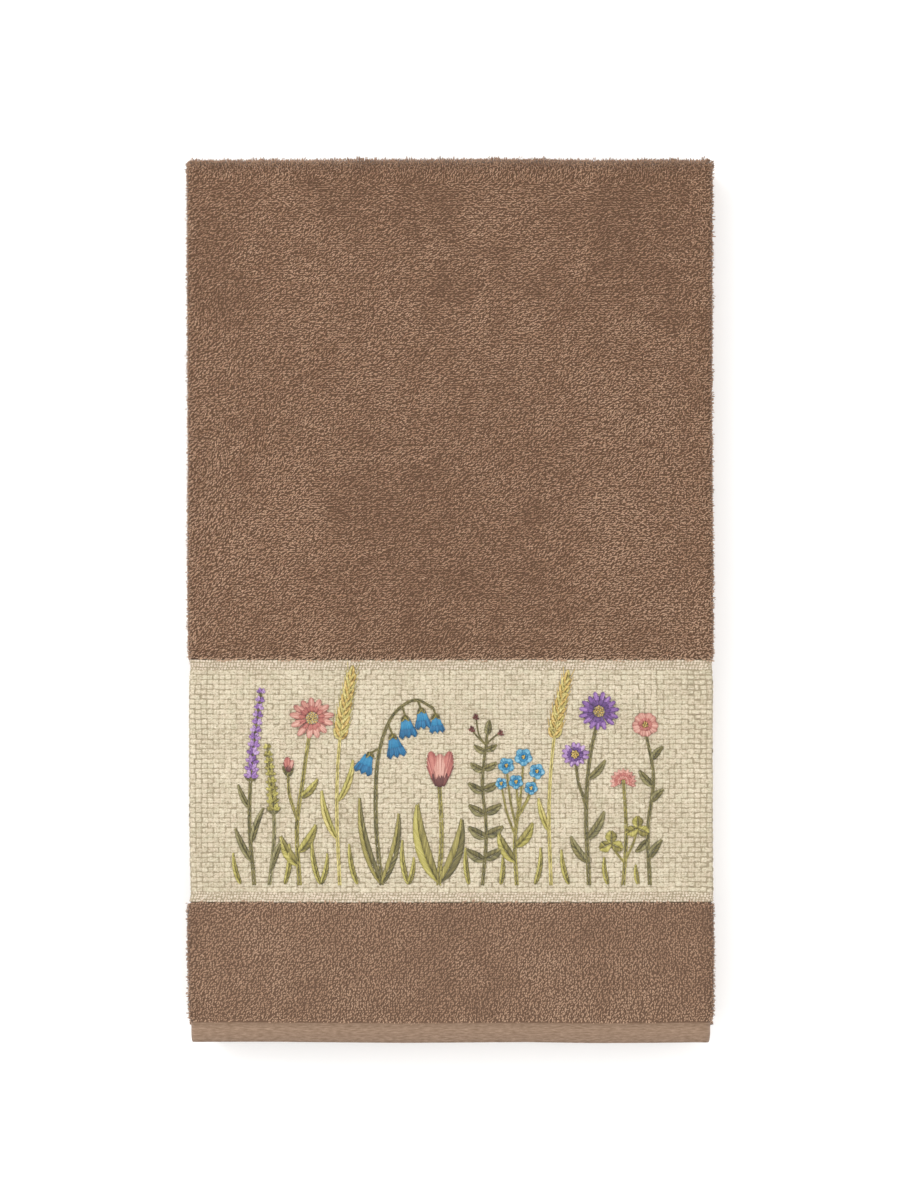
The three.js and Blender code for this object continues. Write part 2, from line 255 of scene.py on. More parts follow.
def strands(name, centre, half, drop, tone, material, section=FACET_3, extra=None):
    """Many short strands as one mesh, each arched over its own ridge line.

    centre (N, R, 3) holds a, s, d of R places along each ridge; half (N, R) its half width;
    drop (N, R) how far its flanks come down; tone (N,) a value for the material."""
    count, rings = centre.shape[:2]
    way = np.gradient(centre[:, :, :2], axis=1)
    way /= np.maximum(np.linalg.norm(way, axis=-1, keepdims=True), 1e-9)
    side, fall = section[:, 0], section[:, 1]
    a = centre[:, :, 0, None] - way[:, :, 1, None] * side * half[:, :, None]
    s = centre[:, :, 1, None] + way[:, :, 0, None] * side * half[:, :, None]
    d = centre[:, :, 2, None] - fall * drop[:, :, None]
    k = len(section)
    points = cloth(a, s, d).reshape(-1, 3)
    base = (np.arange(count) * rings * k)[:, None, None]
    r, c = np.meshgrid(np.arange(rings - 1), np.arange(k - 1), indexing="ij")
    first = base + (r * k + c)[None]
    quads = np.stack([first, first + k, first + k + 1, first + 1], -1).reshape(-1, 4)
    cells = math.ceil(math.sqrt(count))
    cx, cy = (np.arange(count) % cells)[:, None, None], (np.arange(count) // cells)[:, None, None]
    ru, cv = np.meshgrid(np.linspace(0.07, 0.93, rings), np.linspace(0.07, 0.93, k), indexing="ij")
    flat = np.stack([(cx + ru[None]) / cells, (cy + cv[None]) / cells], -1).reshape(-1, 2)
    shape = (count, rings, k)
    run = np.concatenate([np.zeros((count, 1)), np.cumsum(np.linalg.norm(np.diff(centre[:, :, :2], axis=1), axis=-1), 1)], 1)
    values = {
        "tone": np.broadcast_to(np.asarray(tone)[:, None, None], shape),
        "side": np.broadcast_to(side[None, None], shape),
        "along": np.broadcast_to(run[:, :, None], shape),
        "across_cloth": a,
        "along_cloth": s,
    }
    for key, value in (extra or {}).items():
        value = np.asarray(value)
        values[key] = np.broadcast_to(value[:, None, None] if value.ndim == 1 else value[:, :, None], shape)
    return mesh_piece(name, points, quads, flat[quads.ravel()], material, values)


def sheet_piece(name, across, along, inner, outer, material, extra):
    """A closed sheet of cloth over a grid of places, with its rims."""
    a, s = np.meshgrid(across, along)
    n, m = len(across), len(along)
    face, back = cloth(a, s, outer(a, s)).reshape(-1, 3), cloth(a, s, inner(a, s)).reshape(-1, 3)
    points = np.concatenate([face, back])
    at = lambda side, j, i: side * n * m + j * n + i
    j, i = (x.ravel() for x in np.meshgrid(np.arange(m - 1), np.arange(n - 1), indexing="ij"))
    jj, ii = np.arange(m - 1), np.arange(n - 1)
    ga, gs = (across - across[0]) / (across[-1] - across[0]), (along - along[0]) / (along[-1] - along[0])
    quads, flats = [], []

    def add(corners, us, vs):
        quads.append(np.stack(corners, -1))
        flats.append(np.stack([np.stack(us, -1), np.stack(vs, -1)], -1))

    add([at(0, j, i), at(0, j, i + 1), at(0, j + 1, i + 1), at(0, j + 1, i)],
        [0.005 + 0.46 * ga[i], 0.005 + 0.46 * ga[i + 1], 0.005 + 0.46 * ga[i + 1], 0.005 + 0.46 * ga[i]],
        [0.005 + 0.95 * gs[j], 0.005 + 0.95 * gs[j], 0.005 + 0.95 * gs[j + 1], 0.005 + 0.95 * gs[j + 1]])
    add([at(1, j, i), at(1, j + 1, i), at(1, j + 1, i + 1), at(1, j, i + 1)],
        [0.99 - 0.46 * ga[i], 0.99 - 0.46 * ga[i], 0.99 - 0.46 * ga[i + 1], 0.99 - 0.46 * ga[i + 1]],
        [0.005 + 0.95 * gs[j], 0.005 + 0.95 * gs[j + 1], 0.005 + 0.95 * gs[j + 1], 0.005 + 0.95 * gs[j]])
    zero = np.zeros(m - 1)
    g0, g1 = 0.005 + 0.95 * gs[jj], 0.005 + 0.95 * gs[jj + 1]
    add([at(0, jj, 0), at(0, jj + 1, 0), at(1, jj + 1, 0), at(1, jj, 0)],
        [zero + 0.485, zero + 0.485, zero + 0.475, zero + 0.475], [g0, g1, g1, g0])
    add([at(1, jj, n - 1), at(1, jj + 1, n - 1), at(0, jj + 1, n - 1), at(0, jj, n - 1)],
        [zero + 0.503, zero + 0.503, zero + 0.493, zero + 0.493], [g0, g1, g1, g0])
    flat0, flat1 = 0.005 + 0.9 * ga[ii], 0.005 + 0.9 * ga[ii + 1]
    zero = np.zeros(n - 1)
    add([at(1, 0, ii), at(1, 0, ii + 1), at(0, 0, ii + 1), at(0, 0, ii)],
        [flat0, flat1, flat1, flat0], [zero + 0.962, zero + 0.962, zero + 0.975, zero + 0.975])
    add([at(0, m - 1, ii), at(0, m - 1, ii + 1), at(1, m - 1, ii + 1), at(1, m - 1, ii)],
        [flat0, flat1, flat1, flat0], [zero + 0.98, zero + 0.98, zero + 0.993, zero + 0.993])
    quads = np.concatenate([q.reshape(-1, 4) for q in quads])
    flats = np.concatenate([f.reshape(-1, 2) for f in flats])
    values = {"across_cloth": np.concatenate([a.ravel()] * 2), "along_cloth": np.concatenate([s.ravel()] * 2)}
    for key, function in extra.items():
        values[key] = np.concatenate([function(a, s).ravel(), np.zeros(n * m)])
    return mesh_piece(name, points, quads, flats, material, values)


# ---- Materials ----------------------------------------------------------------------------


class Nodes:
    """Short ways to make and join the nodes of one material."""

    def __init__(self, name):
        self.material = bpy.data.materials.new(name)
        self.material.use_nodes = True
        self.tree = self.material.node_tree
        self.shader = self.tree.nodes["Principled BSDF"]

    def node(self, kind, **settings):
        made = self.tree.nodes.new(kind)
        for key, value in settings.items():
            setattr(made, key, value)
        return made

    def put(self, socket, value):
        if isinstance(value, bpy.types.NodeSocket):
            self.tree.links.new(value, socket)
        else:
            socket.default_value = value

    def value(self, name):
        return self.node("ShaderNodeAttribute", attribute_name=name).outputs["Fac"]

    def math(self, operation, a, b=0.0, c=None, clamp=False):
        made = self.node("ShaderNodeMath", operation=operation, use_clamp=clamp)
        self.put(made.inputs[0], a)
        self.put(made.inputs[1], b)
        if c is not None:
            self.put(made.inputs[2], c)
        return made.outputs[0]

    def place(self, x, y, z=0.0):
        made = self.node("ShaderNodeCombineXYZ")
        for socket, value in zip(made.inputs, (x, y, z)):
            self.put(socket, value)
        return made.outputs[0]

    def noise(self, where, scale, detail=2.0, rough=0.5):
        made = self.node("ShaderNodeTexNoise")
        if where is not None:
            self.put(made.inputs["Vector"], where)
        made.inputs["Scale"].default_value = scale
        made.inputs["Detail"].default_value = detail
        made.inputs["Roughness"].default_value = rough
        return made.outputs["Fac"]

    def ramp(self, fac, stops):
        made = self.node("ShaderNodeValToRGB")
        while len(made.color_ramp.elements) < len(stops):
            made.color_ramp.elements.new(0.5)
        for element, (at, colour) in zip(made.color_ramp.elements, stops):
            element.position = at
            element.color = (*colour, 1)
        self.put(made.inputs["Fac"], fac)
        return made.outputs["Color"]

    def blend(self, fac, a, b, kind="MIX"):
        made = self.node("ShaderNodeMix", data_type="RGBA", blend_type=kind)
        self.put(made.inputs[0], fac)
        self.put(made.inputs[6], a if isinstance(a, bpy.types.NodeSocket) else (*a, 1))
        self.put(made.inputs[7], b if isinstance(b, bpy.types.NodeSocket) else (*b, 1))
        return made.outputs[2]

    def bump(self, height, distance, strength=1.0):
        made = self.node("ShaderNodeBump")
        made.inputs["Strength"].default_value = strength
        made.inputs["Distance"].default_value = distance
        self.put(made.inputs["Height"], height)
        return made.outputs["Normal"]

    def finish(self, colour, roughness, normal=None, sheen=0.0, sheen_rough=0.5, specular=0.25, rough_link=None):
        self.put(self.shader.inputs["Base Color"], colour)
        self.shader.inputs["Roughness"].default_value = roughness
        if rough_link is not None:
            self.put(self.shader.inputs["Roughness"], rough_link)
        self.shader.inputs["Specular IOR Level"].default_value = specular
        self.shader.inputs["Sheen Weight"].default_value = sheen
        self.shader.inputs["Sheen Roughness"].default_value = sheen_rough
        if normal is not None:
            self.put(self.shader.inputs["Normal"], normal)
        return self.material


def yarn_height(n, twist, ply):
    """Height of a twisted yarn: slanting plies and a fine fuzz."""
    lean = n.math("MULTIPLY", n.value("side"), ply)
    turn = n.math("MULTIPLY_ADD", n.value("along"), 1.0 / twist, lean)
    wave = n.math("SINE", n.math("MULTIPLY", turn, 2 * math.pi))
    coords = n.node("ShaderNodeTexCoord").outputs["Object"]
    fuzz = n.noise(coords, 5200.0, 3.0, 0.6)
    return n.math("MULTIPLY_ADD", wave, 0.5, n.math("MULTIPLY", fuzz, 0.9))


TERRY_DARK, TERRY_MID, TERRY_LIGHT = (0.070, 0.037, 0.021), (0.440, 0.268, 0.163), (0.66, 0.458, 0.314)


def pile_material():
    n = Nodes("terry_pile")
    # Each loop gets painted shade down its flanks, which lie against their neighbours, and stays lighter along its
    # back.
    flank_shade = n.math("POWER", n.math("ABSOLUTE", n.value("side")), 3.4)
    # In the strip below the band the loops stand closer, so their flanks show less and get less painted shade.
    painted_shade_depth = n.math("MULTIPLY_ADD", n.value("close"), 0.36, -0.98)
    tone = n.math("MULTIPLY_ADD", flank_shade, painted_shade_depth, n.math("MULTIPLY_ADD", n.value("tone"), 0.56, 0.665))
    colour = n.ramp(tone, [(0.0, TERRY_DARK), (0.5, TERRY_MID), (1.0, TERRY_LIGHT)])
    coords = n.node("ShaderNodeTexCoord").outputs["Object"]
    cast = n.noise(coords, 95.0, 2.0)
    colour = n.blend(n.math("MULTIPLY", cast, 0.20), colour, (0.40, 0.225, 0.16))
    colour = n.blend(n.math("MULTIPLY", n.value("close"), 0.44), colour, (0.480, 0.322, 0.222))
    # The yarn's turns break each loop into small light and dark specks.
    strand = n.noise(coords, 1250.0, 3.0, 0.75)
    broken = n.math("MULTIPLY_ADD", n.value("close"), 0.14, 0.64)
    colour = n.blend(n.math("MULTIPLY_ADD", strand, 6.0, -2.2, clamp=True), n.blend(broken, colour, (0.07, 0.037, 0.021)), colour)
    colour = n.blend(0.27, colour, (0.272, 0.147, 0.085))
    return n.finish(colour, 0.92, n.bump(yarn_height(n, 0.55, 0.35), 0.00012, 0.7), sheen=0.25, sheen_rough=0.45, specular=0.15)


def body_material():
    """The cloth itself: hem, side hems, pile ground, and plain pile where no loops stand."""
    n = Nodes("terry_cloth")
    a, s = n.value("across_cloth"), n.value("along_cloth")
    hem, ground = n.value("hem"), n.value("pile_ground")
    where = n.place(a, s)
    # Woven cloth of the hem: fine ribs along it, crossed by finer ones.
    ribs = n.math("SINE", n.math("MULTIPLY", s, 2 * math.pi / 0.62))
    picks = n.math("SINE", n.math("MULTIPLY", a, 2 * math.pi / 0.5))
    weave = n.math("MULTIPLY_ADD", ribs, 0.35, n.math("MULTIPLY", picks, 0.18))
    uneven = n.noise(n.place(n.math("MULTIPLY", a, 0.12), n.math("MULTIPLY", s, 1.4)), 1.0, 3.0, 0.6)
    weave = n.math("ADD", weave, n.math("MULTIPLY", uneven, 1.2))
    # Loops of the pile, by their pitch.
    cells = n.node("ShaderNodeTexVoronoi")
    n.put(cells.inputs["Vector"], n.place(n.math("DIVIDE", a, LOOP_ACROSS), n.math("DIVIDE", s, LOOP_ALONG)))
    cells.inputs["Scale"].default_value = 1.0
    loops = n.math("SUBTRACT", 1.0, cells.outputs["Distance"])
    height = n.node("ShaderNodeMix", data_type="FLOAT")
    n.put(height.inputs[0], hem)
    n.put(height.inputs[2], n.math("MULTIPLY", loops, 5.0))
    n.put(height.inputs[3], n.math("MULTIPLY", weave, 0.5))
    # Darker than real loops, as it has no gaps between loops to shade it.
    terry = n.ramp(loops, [(0.15, (0.085, 0.045, 0.027)), (0.6, (0.293, 0.165, 0.102)), (0.95, (0.40, 0.25, 0.165))])
    drift = n.noise(where, 0.035, 2.0)
    terry = n.blend(n.math("MULTIPLY", drift, 0.3), terry, (0.14, 0.08, 0.05))
    # Where loops stand, the cloth under them is coloured with painted shade: dark brown for the gaps between loops, a
    # little lighter in the strip below the band.
    shaded = n.blend(ground, terry, n.blend(n.math("LESS_THAN", s, BAND_LOW + 5), (0.104, 0.057, 0.034), (0.132, 0.077, 0.049)))
    fine = n.noise(n.place(n.math("MULTIPLY", a, 0.24), n.math("MULTIPLY", s, 1.35)), 1.0, 3.0, 0.7)
    hem_colour = n.ramp(fine, [(0.30, (0.186, 0.119, 0.074)), (0.5, (0.259, 0.173, 0.118)), (0.70, (0.345, 0.239, 0.168))])
    # Painted shade across the hem: darker at its folded lower edge and at its top under the overhanging pile, with a
    # faint darker line about 3 mm up.
    painted_shade_depth = n.ramp(n.math("DIVIDE", s, 11.0), [(0.06, (0.84, 0.85, 0.88)), (0.20, (0.93, 0.94, 0.95)), (0.25, (0.91, 0.91, 0.92)),
                                               (0.31, (0.93, 0.93, 0.94)), (0.50, (0.99, 0.99, 0.99)), (0.68, (1.0, 1.0, 1.0)), (0.84, (0.84, 0.83, 0.82))])
    shade = n.node("ShaderNodeMix", data_type="RGBA", blend_type="MULTIPLY")
    shade.inputs[0].default_value = 1.0
    n.put(shade.inputs[6], hem_colour)
    n.put(shade.inputs[7], painted_shade_depth)
    hem_colour = n.blend(n.math("LESS_THAN", s, 11.0), hem_colour, shade.outputs[2])
    return n.finish(n.blend(hem, shaded, hem_colour), 0.88, n.bump(height.outputs[0], 0.00016, 0.8), sheen=0.2, sheen_rough=0.45, specular=0.18)


# The first two band colours are painted shade: for the ground seen between the floats, and for the shaded flanks and
# ends of the floats.
BAND_GAP_SHADE, BAND_SHADE, BAND_THREAD, BAND_PALE = (0.270, 0.222, 0.146), (0.375, 0.317, 0.214), (0.553, 0.484, 0.352), (0.70, 0.632, 0.486)
EDGE_SHADE, EDGE_THREAD, EDGE_PALE = (0.43, 0.343, 0.250), (0.618, 0.515, 0.402), (0.715, 0.625, 0.515)


def band_cloth_material():
    n = Nodes("band_ground")
    a, s = n.value("across_cloth"), n.value("along_cloth")
    spots = n.noise(n.place(a, s), 1.1, 3.0, 0.6)
    # The ground sheet under the floats is coloured as painted shade, dark where it shows between them.
    colour = n.ramp(spots, [(0.3, BAND_GAP_SHADE), (0.7, BAND_SHADE)])
    ribs = n.math("SINE", n.math("MULTIPLY", a, 2 * math.pi / 0.8))
    return n.finish(colour, 0.9, n.bump(n.math("ADD", ribs, spots), 0.00012, 0.8), sheen=0.1, specular=0.2)


def band_thread_material(name, shade, thread, pale):
    n = Nodes(name)
    coords = n.node("ShaderNodeTexCoord").outputs["Object"]
    fleck = n.noise(coords, 1250.0, 3.0, 0.65)
    # Painted shade: darker down each float's flanks, at its ends where it dips under its neighbours, and along the
    # crease between the two threads of a pair.
    flank_shade = n.math("POWER", n.math("ABSOLUTE", n.value("side")), 1.7)
    tone = n.math("MULTIPLY_ADD", n.value("tone"), 0.32, n.math("MULTIPLY_ADD", fleck, 1.7, -0.33))
    tone = n.math("MULTIPLY_ADD", flank_shade, -0.17, n.math("MULTIPLY_ADD", n.value("dip"), -0.20, tone))
    between = n.math("MULTIPLY_ADD", n.math("ABSOLUTE", n.value("side")), -4.0, 1.0, clamp=True)
    tone = n.math("MULTIPLY_ADD", between, n.math("MULTIPLY", n.value("pair"), -0.30), tone)
    colour = n.ramp(tone, [(0.02, shade), (0.45, thread), (0.9, pale)])
    tint = n.noise(coords, 210.0, 2.0)
    colour = n.blend(n.math("MULTIPLY_ADD", tint, 1.6, -0.62, clamp=True), colour, n.blend(0.35, colour, (0.62, 0.47, 0.38)))
    where_a, where_s = n.value("across_cloth"), n.value("along_cloth")
    # Scattered dark marks of painted shade, like the shaded gaps between rows.
    gap_shade = n.noise(n.place(n.math("MULTIPLY", where_a, 0.62), n.math("MULTIPLY", where_s, 1.2)), 1.0, 2.0, 0.6)
    colour = n.blend(n.math("MULTIPLY_ADD", gap_shade, 8.0, -4.35, clamp=True), colour, n.blend(0.75, colour, (0.22, 0.178, 0.105)))
    # Scattered pale specks are painted highlights on the threads.
    highlight_specks = n.noise(n.place(n.math("MULTIPLY_ADD", where_a, 0.8, 40.0), n.math("MULTIPLY", where_s, 1.1)), 1.0, 2.0, 0.6)
    colour = n.blend(n.math("MULTIPLY_ADD", highlight_specks, 7.0, -3.9, clamp=True), colour, n.blend(0.55, colour, (0.80, 0.75, 0.60)))
    # Where a float goes deep between its neighbours it gets a dark dash of painted shade.
    dip_shade = n.math("MULTIPLY_ADD", n.value("dip"), 0.9, -1.25, clamp=True)
    colour = n.blend(dip_shade, colour, n.blend(0.85, colour, (0.12, 0.09, 0.05)))
    rosy = n.noise(n.place(n.math("MULTIPLY_ADD", where_a, 1.1, 90.0), n.math("MULTIPLY", where_s, 1.6)), 1.0, 2.0, 0.6)
    colour = n.blend(n.math("MULTIPLY_ADD", rosy, 8.0, -4.7, clamp=True), colour, n.blend(0.5, colour, (0.62, 0.42, 0.33)))
    cool = n.noise(n.place(where_a, where_s), 0.16, 2.0)
    colour = n.blend(n.math("MULTIPLY_ADD", cool, 1.8, -0.85, clamp=True), colour, n.blend(0.4, colour, (0.50, 0.51, 0.35)))
    return n.finish(colour, 0.8, n.bump(yarn_height(n, 0.5, 0.3), 0.00010, 0.7), sheen=0.12, sheen_rough=0.4, specular=0.25)


def thread_material(name, deep, mid, light):
    """Glossy stitching thread: plies twisted along it, with painted shade down its flanks and where it goes into the
    cloth.
    """
    n = Nodes("thread_" + name)
    coords = n.node("ShaderNodeTexCoord").outputs["Object"]
    streak = n.noise(coords, 1500.0, 2.0)
    flank_shade = n.math("POWER", n.math("ABSOLUTE", n.value("side")), 2.0)
    tone = n.math("MULTIPLY_ADD", n.value("tone"), 0.5, n.math("MULTIPLY_ADD", streak, 0.4, 0.36))
    tone = n.math("MULTIPLY_ADD", flank_shade, -0.34, n.math("MULTIPLY_ADD", n.value("dip"), -0.30, tone))
    colour = n.ramp(tone, [(0.0, deep), (0.45, mid), (0.92, light)])
    return n.finish(colour, 0.45, n.bump(yarn_height(n, 0.42, 0.5), 0.00006, 0.7), sheen=0.1, specular=0.5)


# ---- The cloth ----------------------------------------------------------------------------


def near_side_fold(a):
    """1 at the side folds and a little way onto each ply, 0 elsewhere."""
    left = ease(A1 - 6, A1 - 3, a) * (1 - ease(A2 + 3, A2 + 6, a))
    right = ease(A3 - 6, A3 - 3, a) * (1 - ease(A4 + 3, A4 + 6, a))
    return np.maximum(left, right)


def outer_side(a):
    """1 on the front and both side folds, 0 on the flaps."""
    return ease(A1 - 6, A1 - 3, a) * (1 - ease(A4 + 3, A4 + 6, a))


def loops_stand(a, s):
    """1 where pile loops are built, 0 where the pile is left plain."""
    low = ease(S3 - 8, S3 - 4, s) * (1 - ease(S4 + 4, S4 + 8, s))
    upper = np.where(s < S2 + 6, outer_side(a), near_side_fold(a))
    return np.maximum(upper, low)


def in_hem(s):
    return np.maximum(1 - ease(HEM - 0.3, HEM + 0.4, s), ease(S5 - HEM - 0.4, S5 - HEM + 0.3, s))


def side_hem(a):
    return np.where((a < SELVEDGE + 0.5) | (a > FLAT_WIDTH - SELVEDGE - 0.5), 1.0, 0.0)


def end_round(a, s):
    """Rounds the cloth off at the folded edge of each end hem, and less so at the side folds."""
    edge = np.minimum(s, S5 - s)
    return mix(np.sqrt(np.clip(edge / 1.0, 0.12, 1)), 1.0, 0.5 * near_side_fold(a))


def body_outer(a, s):
    pile = mix(1.47, 0.62, loops_stand(a, s))
    d = mix(pile, HEM_CLOTH * end_round(a, s), in_hem(s))
    ground = ease(BAND_LOW - 1.2, BAND_LOW - 0.4, s) * (1 - ease(BAND_HIGH + 0.4, BAND_HIGH + 1.2, s))
    d = mix(d, GROUND_FACE, ground)
    return np.where((side_hem(a) > 0) & (ground < 0.5) & (in_hem(s) < 0.5), 0.8, d)


def body_inner(a, s):
    d = mix(-1.3, -HEM_CLOTH * end_round(a, s), in_hem(s))
    return np.where((side_hem(a) > 0) & (in_hem(s) < 0.5), -0.8, d)


def spread(*pieces):
    """Joins lists of places, each given as (from, to, how many), and single ones."""
    out = []
    for p in pieces:
        out.extend(np.linspace(*p) if isinstance(p, tuple) else [p])
    return np.unique(np.round(np.array(out, float), 4))


def make_body(material):
    across = spread(0, SELVEDGE, SELVEDGE + 1, (12, A1 - 14, 11), (A1 - 7, A1 - 1, 5), (A1, A2, 13), (A2 + 1, A2 + 7, 4),
                    (A2 + 12, A3 - 12, 31), (A3 - 7, A3 - 1, 4), (A3, A4, 13), (A4 + 1, A4 + 7, 5),
                    (A4 + 14, FLAT_WIDTH - 12, 11), FLAT_WIDTH - SELVEDGE - 1, FLAT_WIDTH - SELVEDGE, FLAT_WIDTH)
    along = spread(0, 0.25, 0.6, 1.2, 2.5, 4.5, 7.5, HEM - 0.3, HEM + 0.4, (12.5, 22, 5), (28, BAND_LOW - 1.2, 6),
                   BAND_LOW - 0.4, (BAND_LOW + 2, BAND_LOW + 9, 4), (95, BAND_HIGH - 16, 8), (BAND_HIGH - 9, BAND_HIGH - 2, 4),
                   BAND_HIGH + 0.4, BAND_HIGH + 1.2, (212, 448, 20), (S1, S2, 19), S2 + 3, S2 + 6, (S2 + 30, S3 - 20, 12),
                   S3 - 8, S3 - 4, (S3, S4, 19), S4 + 4, S4 + 8, (S4 + 40, S5 - 20, 12), S5 - HEM - 0.4, S5 - HEM + 0.3,
                   S5 - 6, S5 - 3, S5 - 1.2, S5 - 0.5, S5)
    body = sheet_piece("towel_cloth", across, along, body_inner, body_outer, material, {
        "hem": lambda a, s: np.maximum(in_hem(s), side_hem(a)),
        "pile_ground": lambda a, s: loops_stand(a, s) * (1 - in_hem(s)),
    })
    # The inside of the hem is woven too.
    count = len(across) * len(along)
    s = np.repeat(along, len(across))
    hem = np.zeros(2 * count, np.float32)
    body.data.attributes["hem"].data.foreach_get("value", hem)
    hem[count:] = np.maximum(in_hem(s), side_hem(np.tile(across, len(along))))
    body.data.attributes["hem"].data.foreach_set("value", hem)
    return body


# ---- The pile -----------------------------------------------------------------------------

def lean_of(u, s):
    """Which way the loops lie, in degrees from straight across, turning up."""
    upper = 25 + 12 * ease(-60, -130, u) + 9 * ease(300, 215, s) * (1 - ease(20, 120, u)) - 14 * ease(425, 448, s)
    lower = 62 + 12 * ease(-40, 120, u)
    return np.where(s > 150, upper, lower) + (13 * noise(u, s, 38, 3) + 16 * noise(u, s, 8, 4)) * np.where(s > 150, 1.0, 0.8)


# Where the front's pile is stroked lighter or darker: place across, height, half width, half height, how much.
STROKES = [
    (-98, 280, 46, 95, 0.24), (108, 270, 34, 110, 0.36), (20, 290, 70, 60, -0.11), (95, 425, 55, 42, -0.17),
    (-110, 385, 30, 25, -0.04), (-60, 380, 50, 20, 0.05), (0, 420, 45, 30, 0.06),
]


def stroked(u, s):
    """How much lighter or darker the pile looks from place to place, where it has been stroked."""
    soft = sum(k * np.exp(-((u - c) / w) ** 2 - ((s - y) / t) ** 2) for c, y, w, t, k in STROKES)
    down = noise(u, s * 0.16, 8, 24)
    mottled = 0.13 * noise(u, s, 5, 21) + 0.13 * noise(u, s, 9, 25) + 0.19 * noise(u, s, 17, 22) + 0.12 * noise(u, s, 48, 23)
    # The last term is painted shade: the pile gets darker towards the top fold, where the cloth rounds away.
    return soft + mottled + 0.09 * down + 0.07 * ease(90, 60, s) - 0.08 * ease(428, 446, s)


def pile(name, a_from, a_to, s_from, s_to, material, keep=None, height=1.5, seed=1, lean=None, across=LOOP_ACROSS, along=LOOP_ALONG):
    """Loops of the pile over one stretch of the cloth, row by row."""
    local = np.random.default_rng(seed)
    columns = int(round((a_to - a_from) / across))
    rows = int(round((s_to - s_from) / along))
    i, j = (x.ravel() for x in np.meshgrid(np.arange(columns), np.arange(rows)))
    a = a_from + (i + 0.5) * across + local.normal(0, 1, i.size) * across * (0.28 if s_to < BAND_HIGH else 0.24)
    s = s_from + (j + 0.5) * along + local.normal(0, 0.23 * along, i.size)
    if keep is not None:
        chosen = keep(a, s)
        a, s = a[chosen], s[chosen]
    count = a.size
    grow = across / 1.22
    u = a - A2 - FOLD_AT
    lean = lean_of(u, s) if lean is None else lean(a, s)
    loose = 16 + 18 * ease(95, 132, u) + 6 * noise(u, s, 25, 9)
    # Over the top fold they part every way, in tufts.
    parted = ease(S1 - 2, S1 + 8, s) * (1 - ease(S2 - 3, S2 + 3, s))
    tufty = np.clip(noise(u, s * 0.2, 2.4, 62) + 0.6 * noise(u, s * 0.2, 6.5, 63), 0, 1.2)
    angle = np.radians(lean + local.normal(0, 1, count) * (loose + 40 * parted))
    length = np.where(s > BAND_HIGH, 1.60, 1.25) * grow * local.uniform(0.70, 1.30, count)
    wide = np.where(s > S2 + 5, 0.37, np.where(s > BAND_HIGH, 0.30, 0.33)) * grow * local.uniform(0.76, 1.24, count)
    top = height - np.abs(local.normal(0, 1, count)) * np.where(s > BAND_HIGH, 0.25, 0.14) - 0.08 * (1 + noise(u, s, 7, 12))
    # Where the cloth turns, the pile opens and single loops stand out.
    turned_out = np.maximum(np.where((a < A2 + 1.5) | (a > A3 - 1.5), 1.0, 0.0), ((s > S1 + 4) & (s < S2)) * 1.0)
    tuft = turned_out * np.clip(np.abs(local.normal(0, 0.55, count)) - 0.15, 0, 1.5) + 1.3 * parted * tufty * local.uniform(0.2, 1.0, count) * (1 + 0.8 * ease(127, 136, np.abs(u)))
    top = top + tuft
    wide = wide * (1 - 0.22 * np.clip(tuft, 0, 1)) * (1 - 0.12 * parted)
    # Beside the hem and the band the loops lie lower.
    step = np.minimum(np.abs(s - HEM), np.minimum(np.abs(s - BAND_LOW), np.abs(s - BAND_HIGH)))
    top = np.where(s < S1, top - 0.34 * (1 - ease(0.2, 2.4, step)), top)
    bow = local.normal(0, 0.16, count)
    t = np.array([-0.5, 0.0, 0.5])
    c, k = np.cos(angle), np.sin(angle)
    centre = np.empty((count, 3, 3))
    centre[:, :, 0] = a[:, None] + c[:, None] * t * length[:, None] - k[:, None] * np.array([0, 1, 0]) * bow[:, None]
    centre[:, :, 1] = s[:, None] + k[:, None] * t * length[:, None] + c[:, None] * np.array([0, 1, 0]) * bow[:, None]
    centre[:, :, 2] = 0.55 + (top - 0.55)[:, None] * np.array([0.0, 1.0, 0.24])
    half = wide[:, None] * np.array([0.66, 1.08, 0.72])
    drop = half * np.where(s > BAND_HIGH, 1.4, 0.8)[:, None]
    # Fine wavy streaks of painted shade and light follow the rows of loops that lie over together.
    way = np.where(s > BAND_HIGH, np.radians(24), np.radians(84))
    wave = noise(u * np.cos(way) + s * np.sin(way), 3.4 * (s * np.cos(way) - u * np.sin(way)), 4.4, 61)
    over = np.minimum(np.abs(s - BAND_LOW), np.abs(s - BAND_HIGH))
    # Painted light: loops next to the hem and the band are lighter, lifting the shadow along those edges.
    painted_edge_light = 0.62 * (1 - ease(0.3, 1.8, step)) + 0.26 * (1 - ease(1, 7, step)) + 0.55 * (1 - ease(0.4, 1.5, over))
    # The tone also holds painted light: loops a little lighter towards both side folds.
    tone = local.normal(0, 1, count) * np.where(s > BAND_HIGH, 0.29, 0.18) + np.where(s > BAND_HIGH, 0.27, 0.08) * wave + np.where(s < S1, painted_edge_light, 0) + stroked(u, s) * np.where(s > BAND_HIGH, 1.25, 2.5) + 0.06 * ease(-118, -134, u) + 0.06 * ease(124, 136, u)
    return strands(name, centre, half, drop, tone, material, extra={"close": np.where(s < BAND_LOW + 5, 1.0, np.where(s > S2 + 5, 0.6, 0.0))})


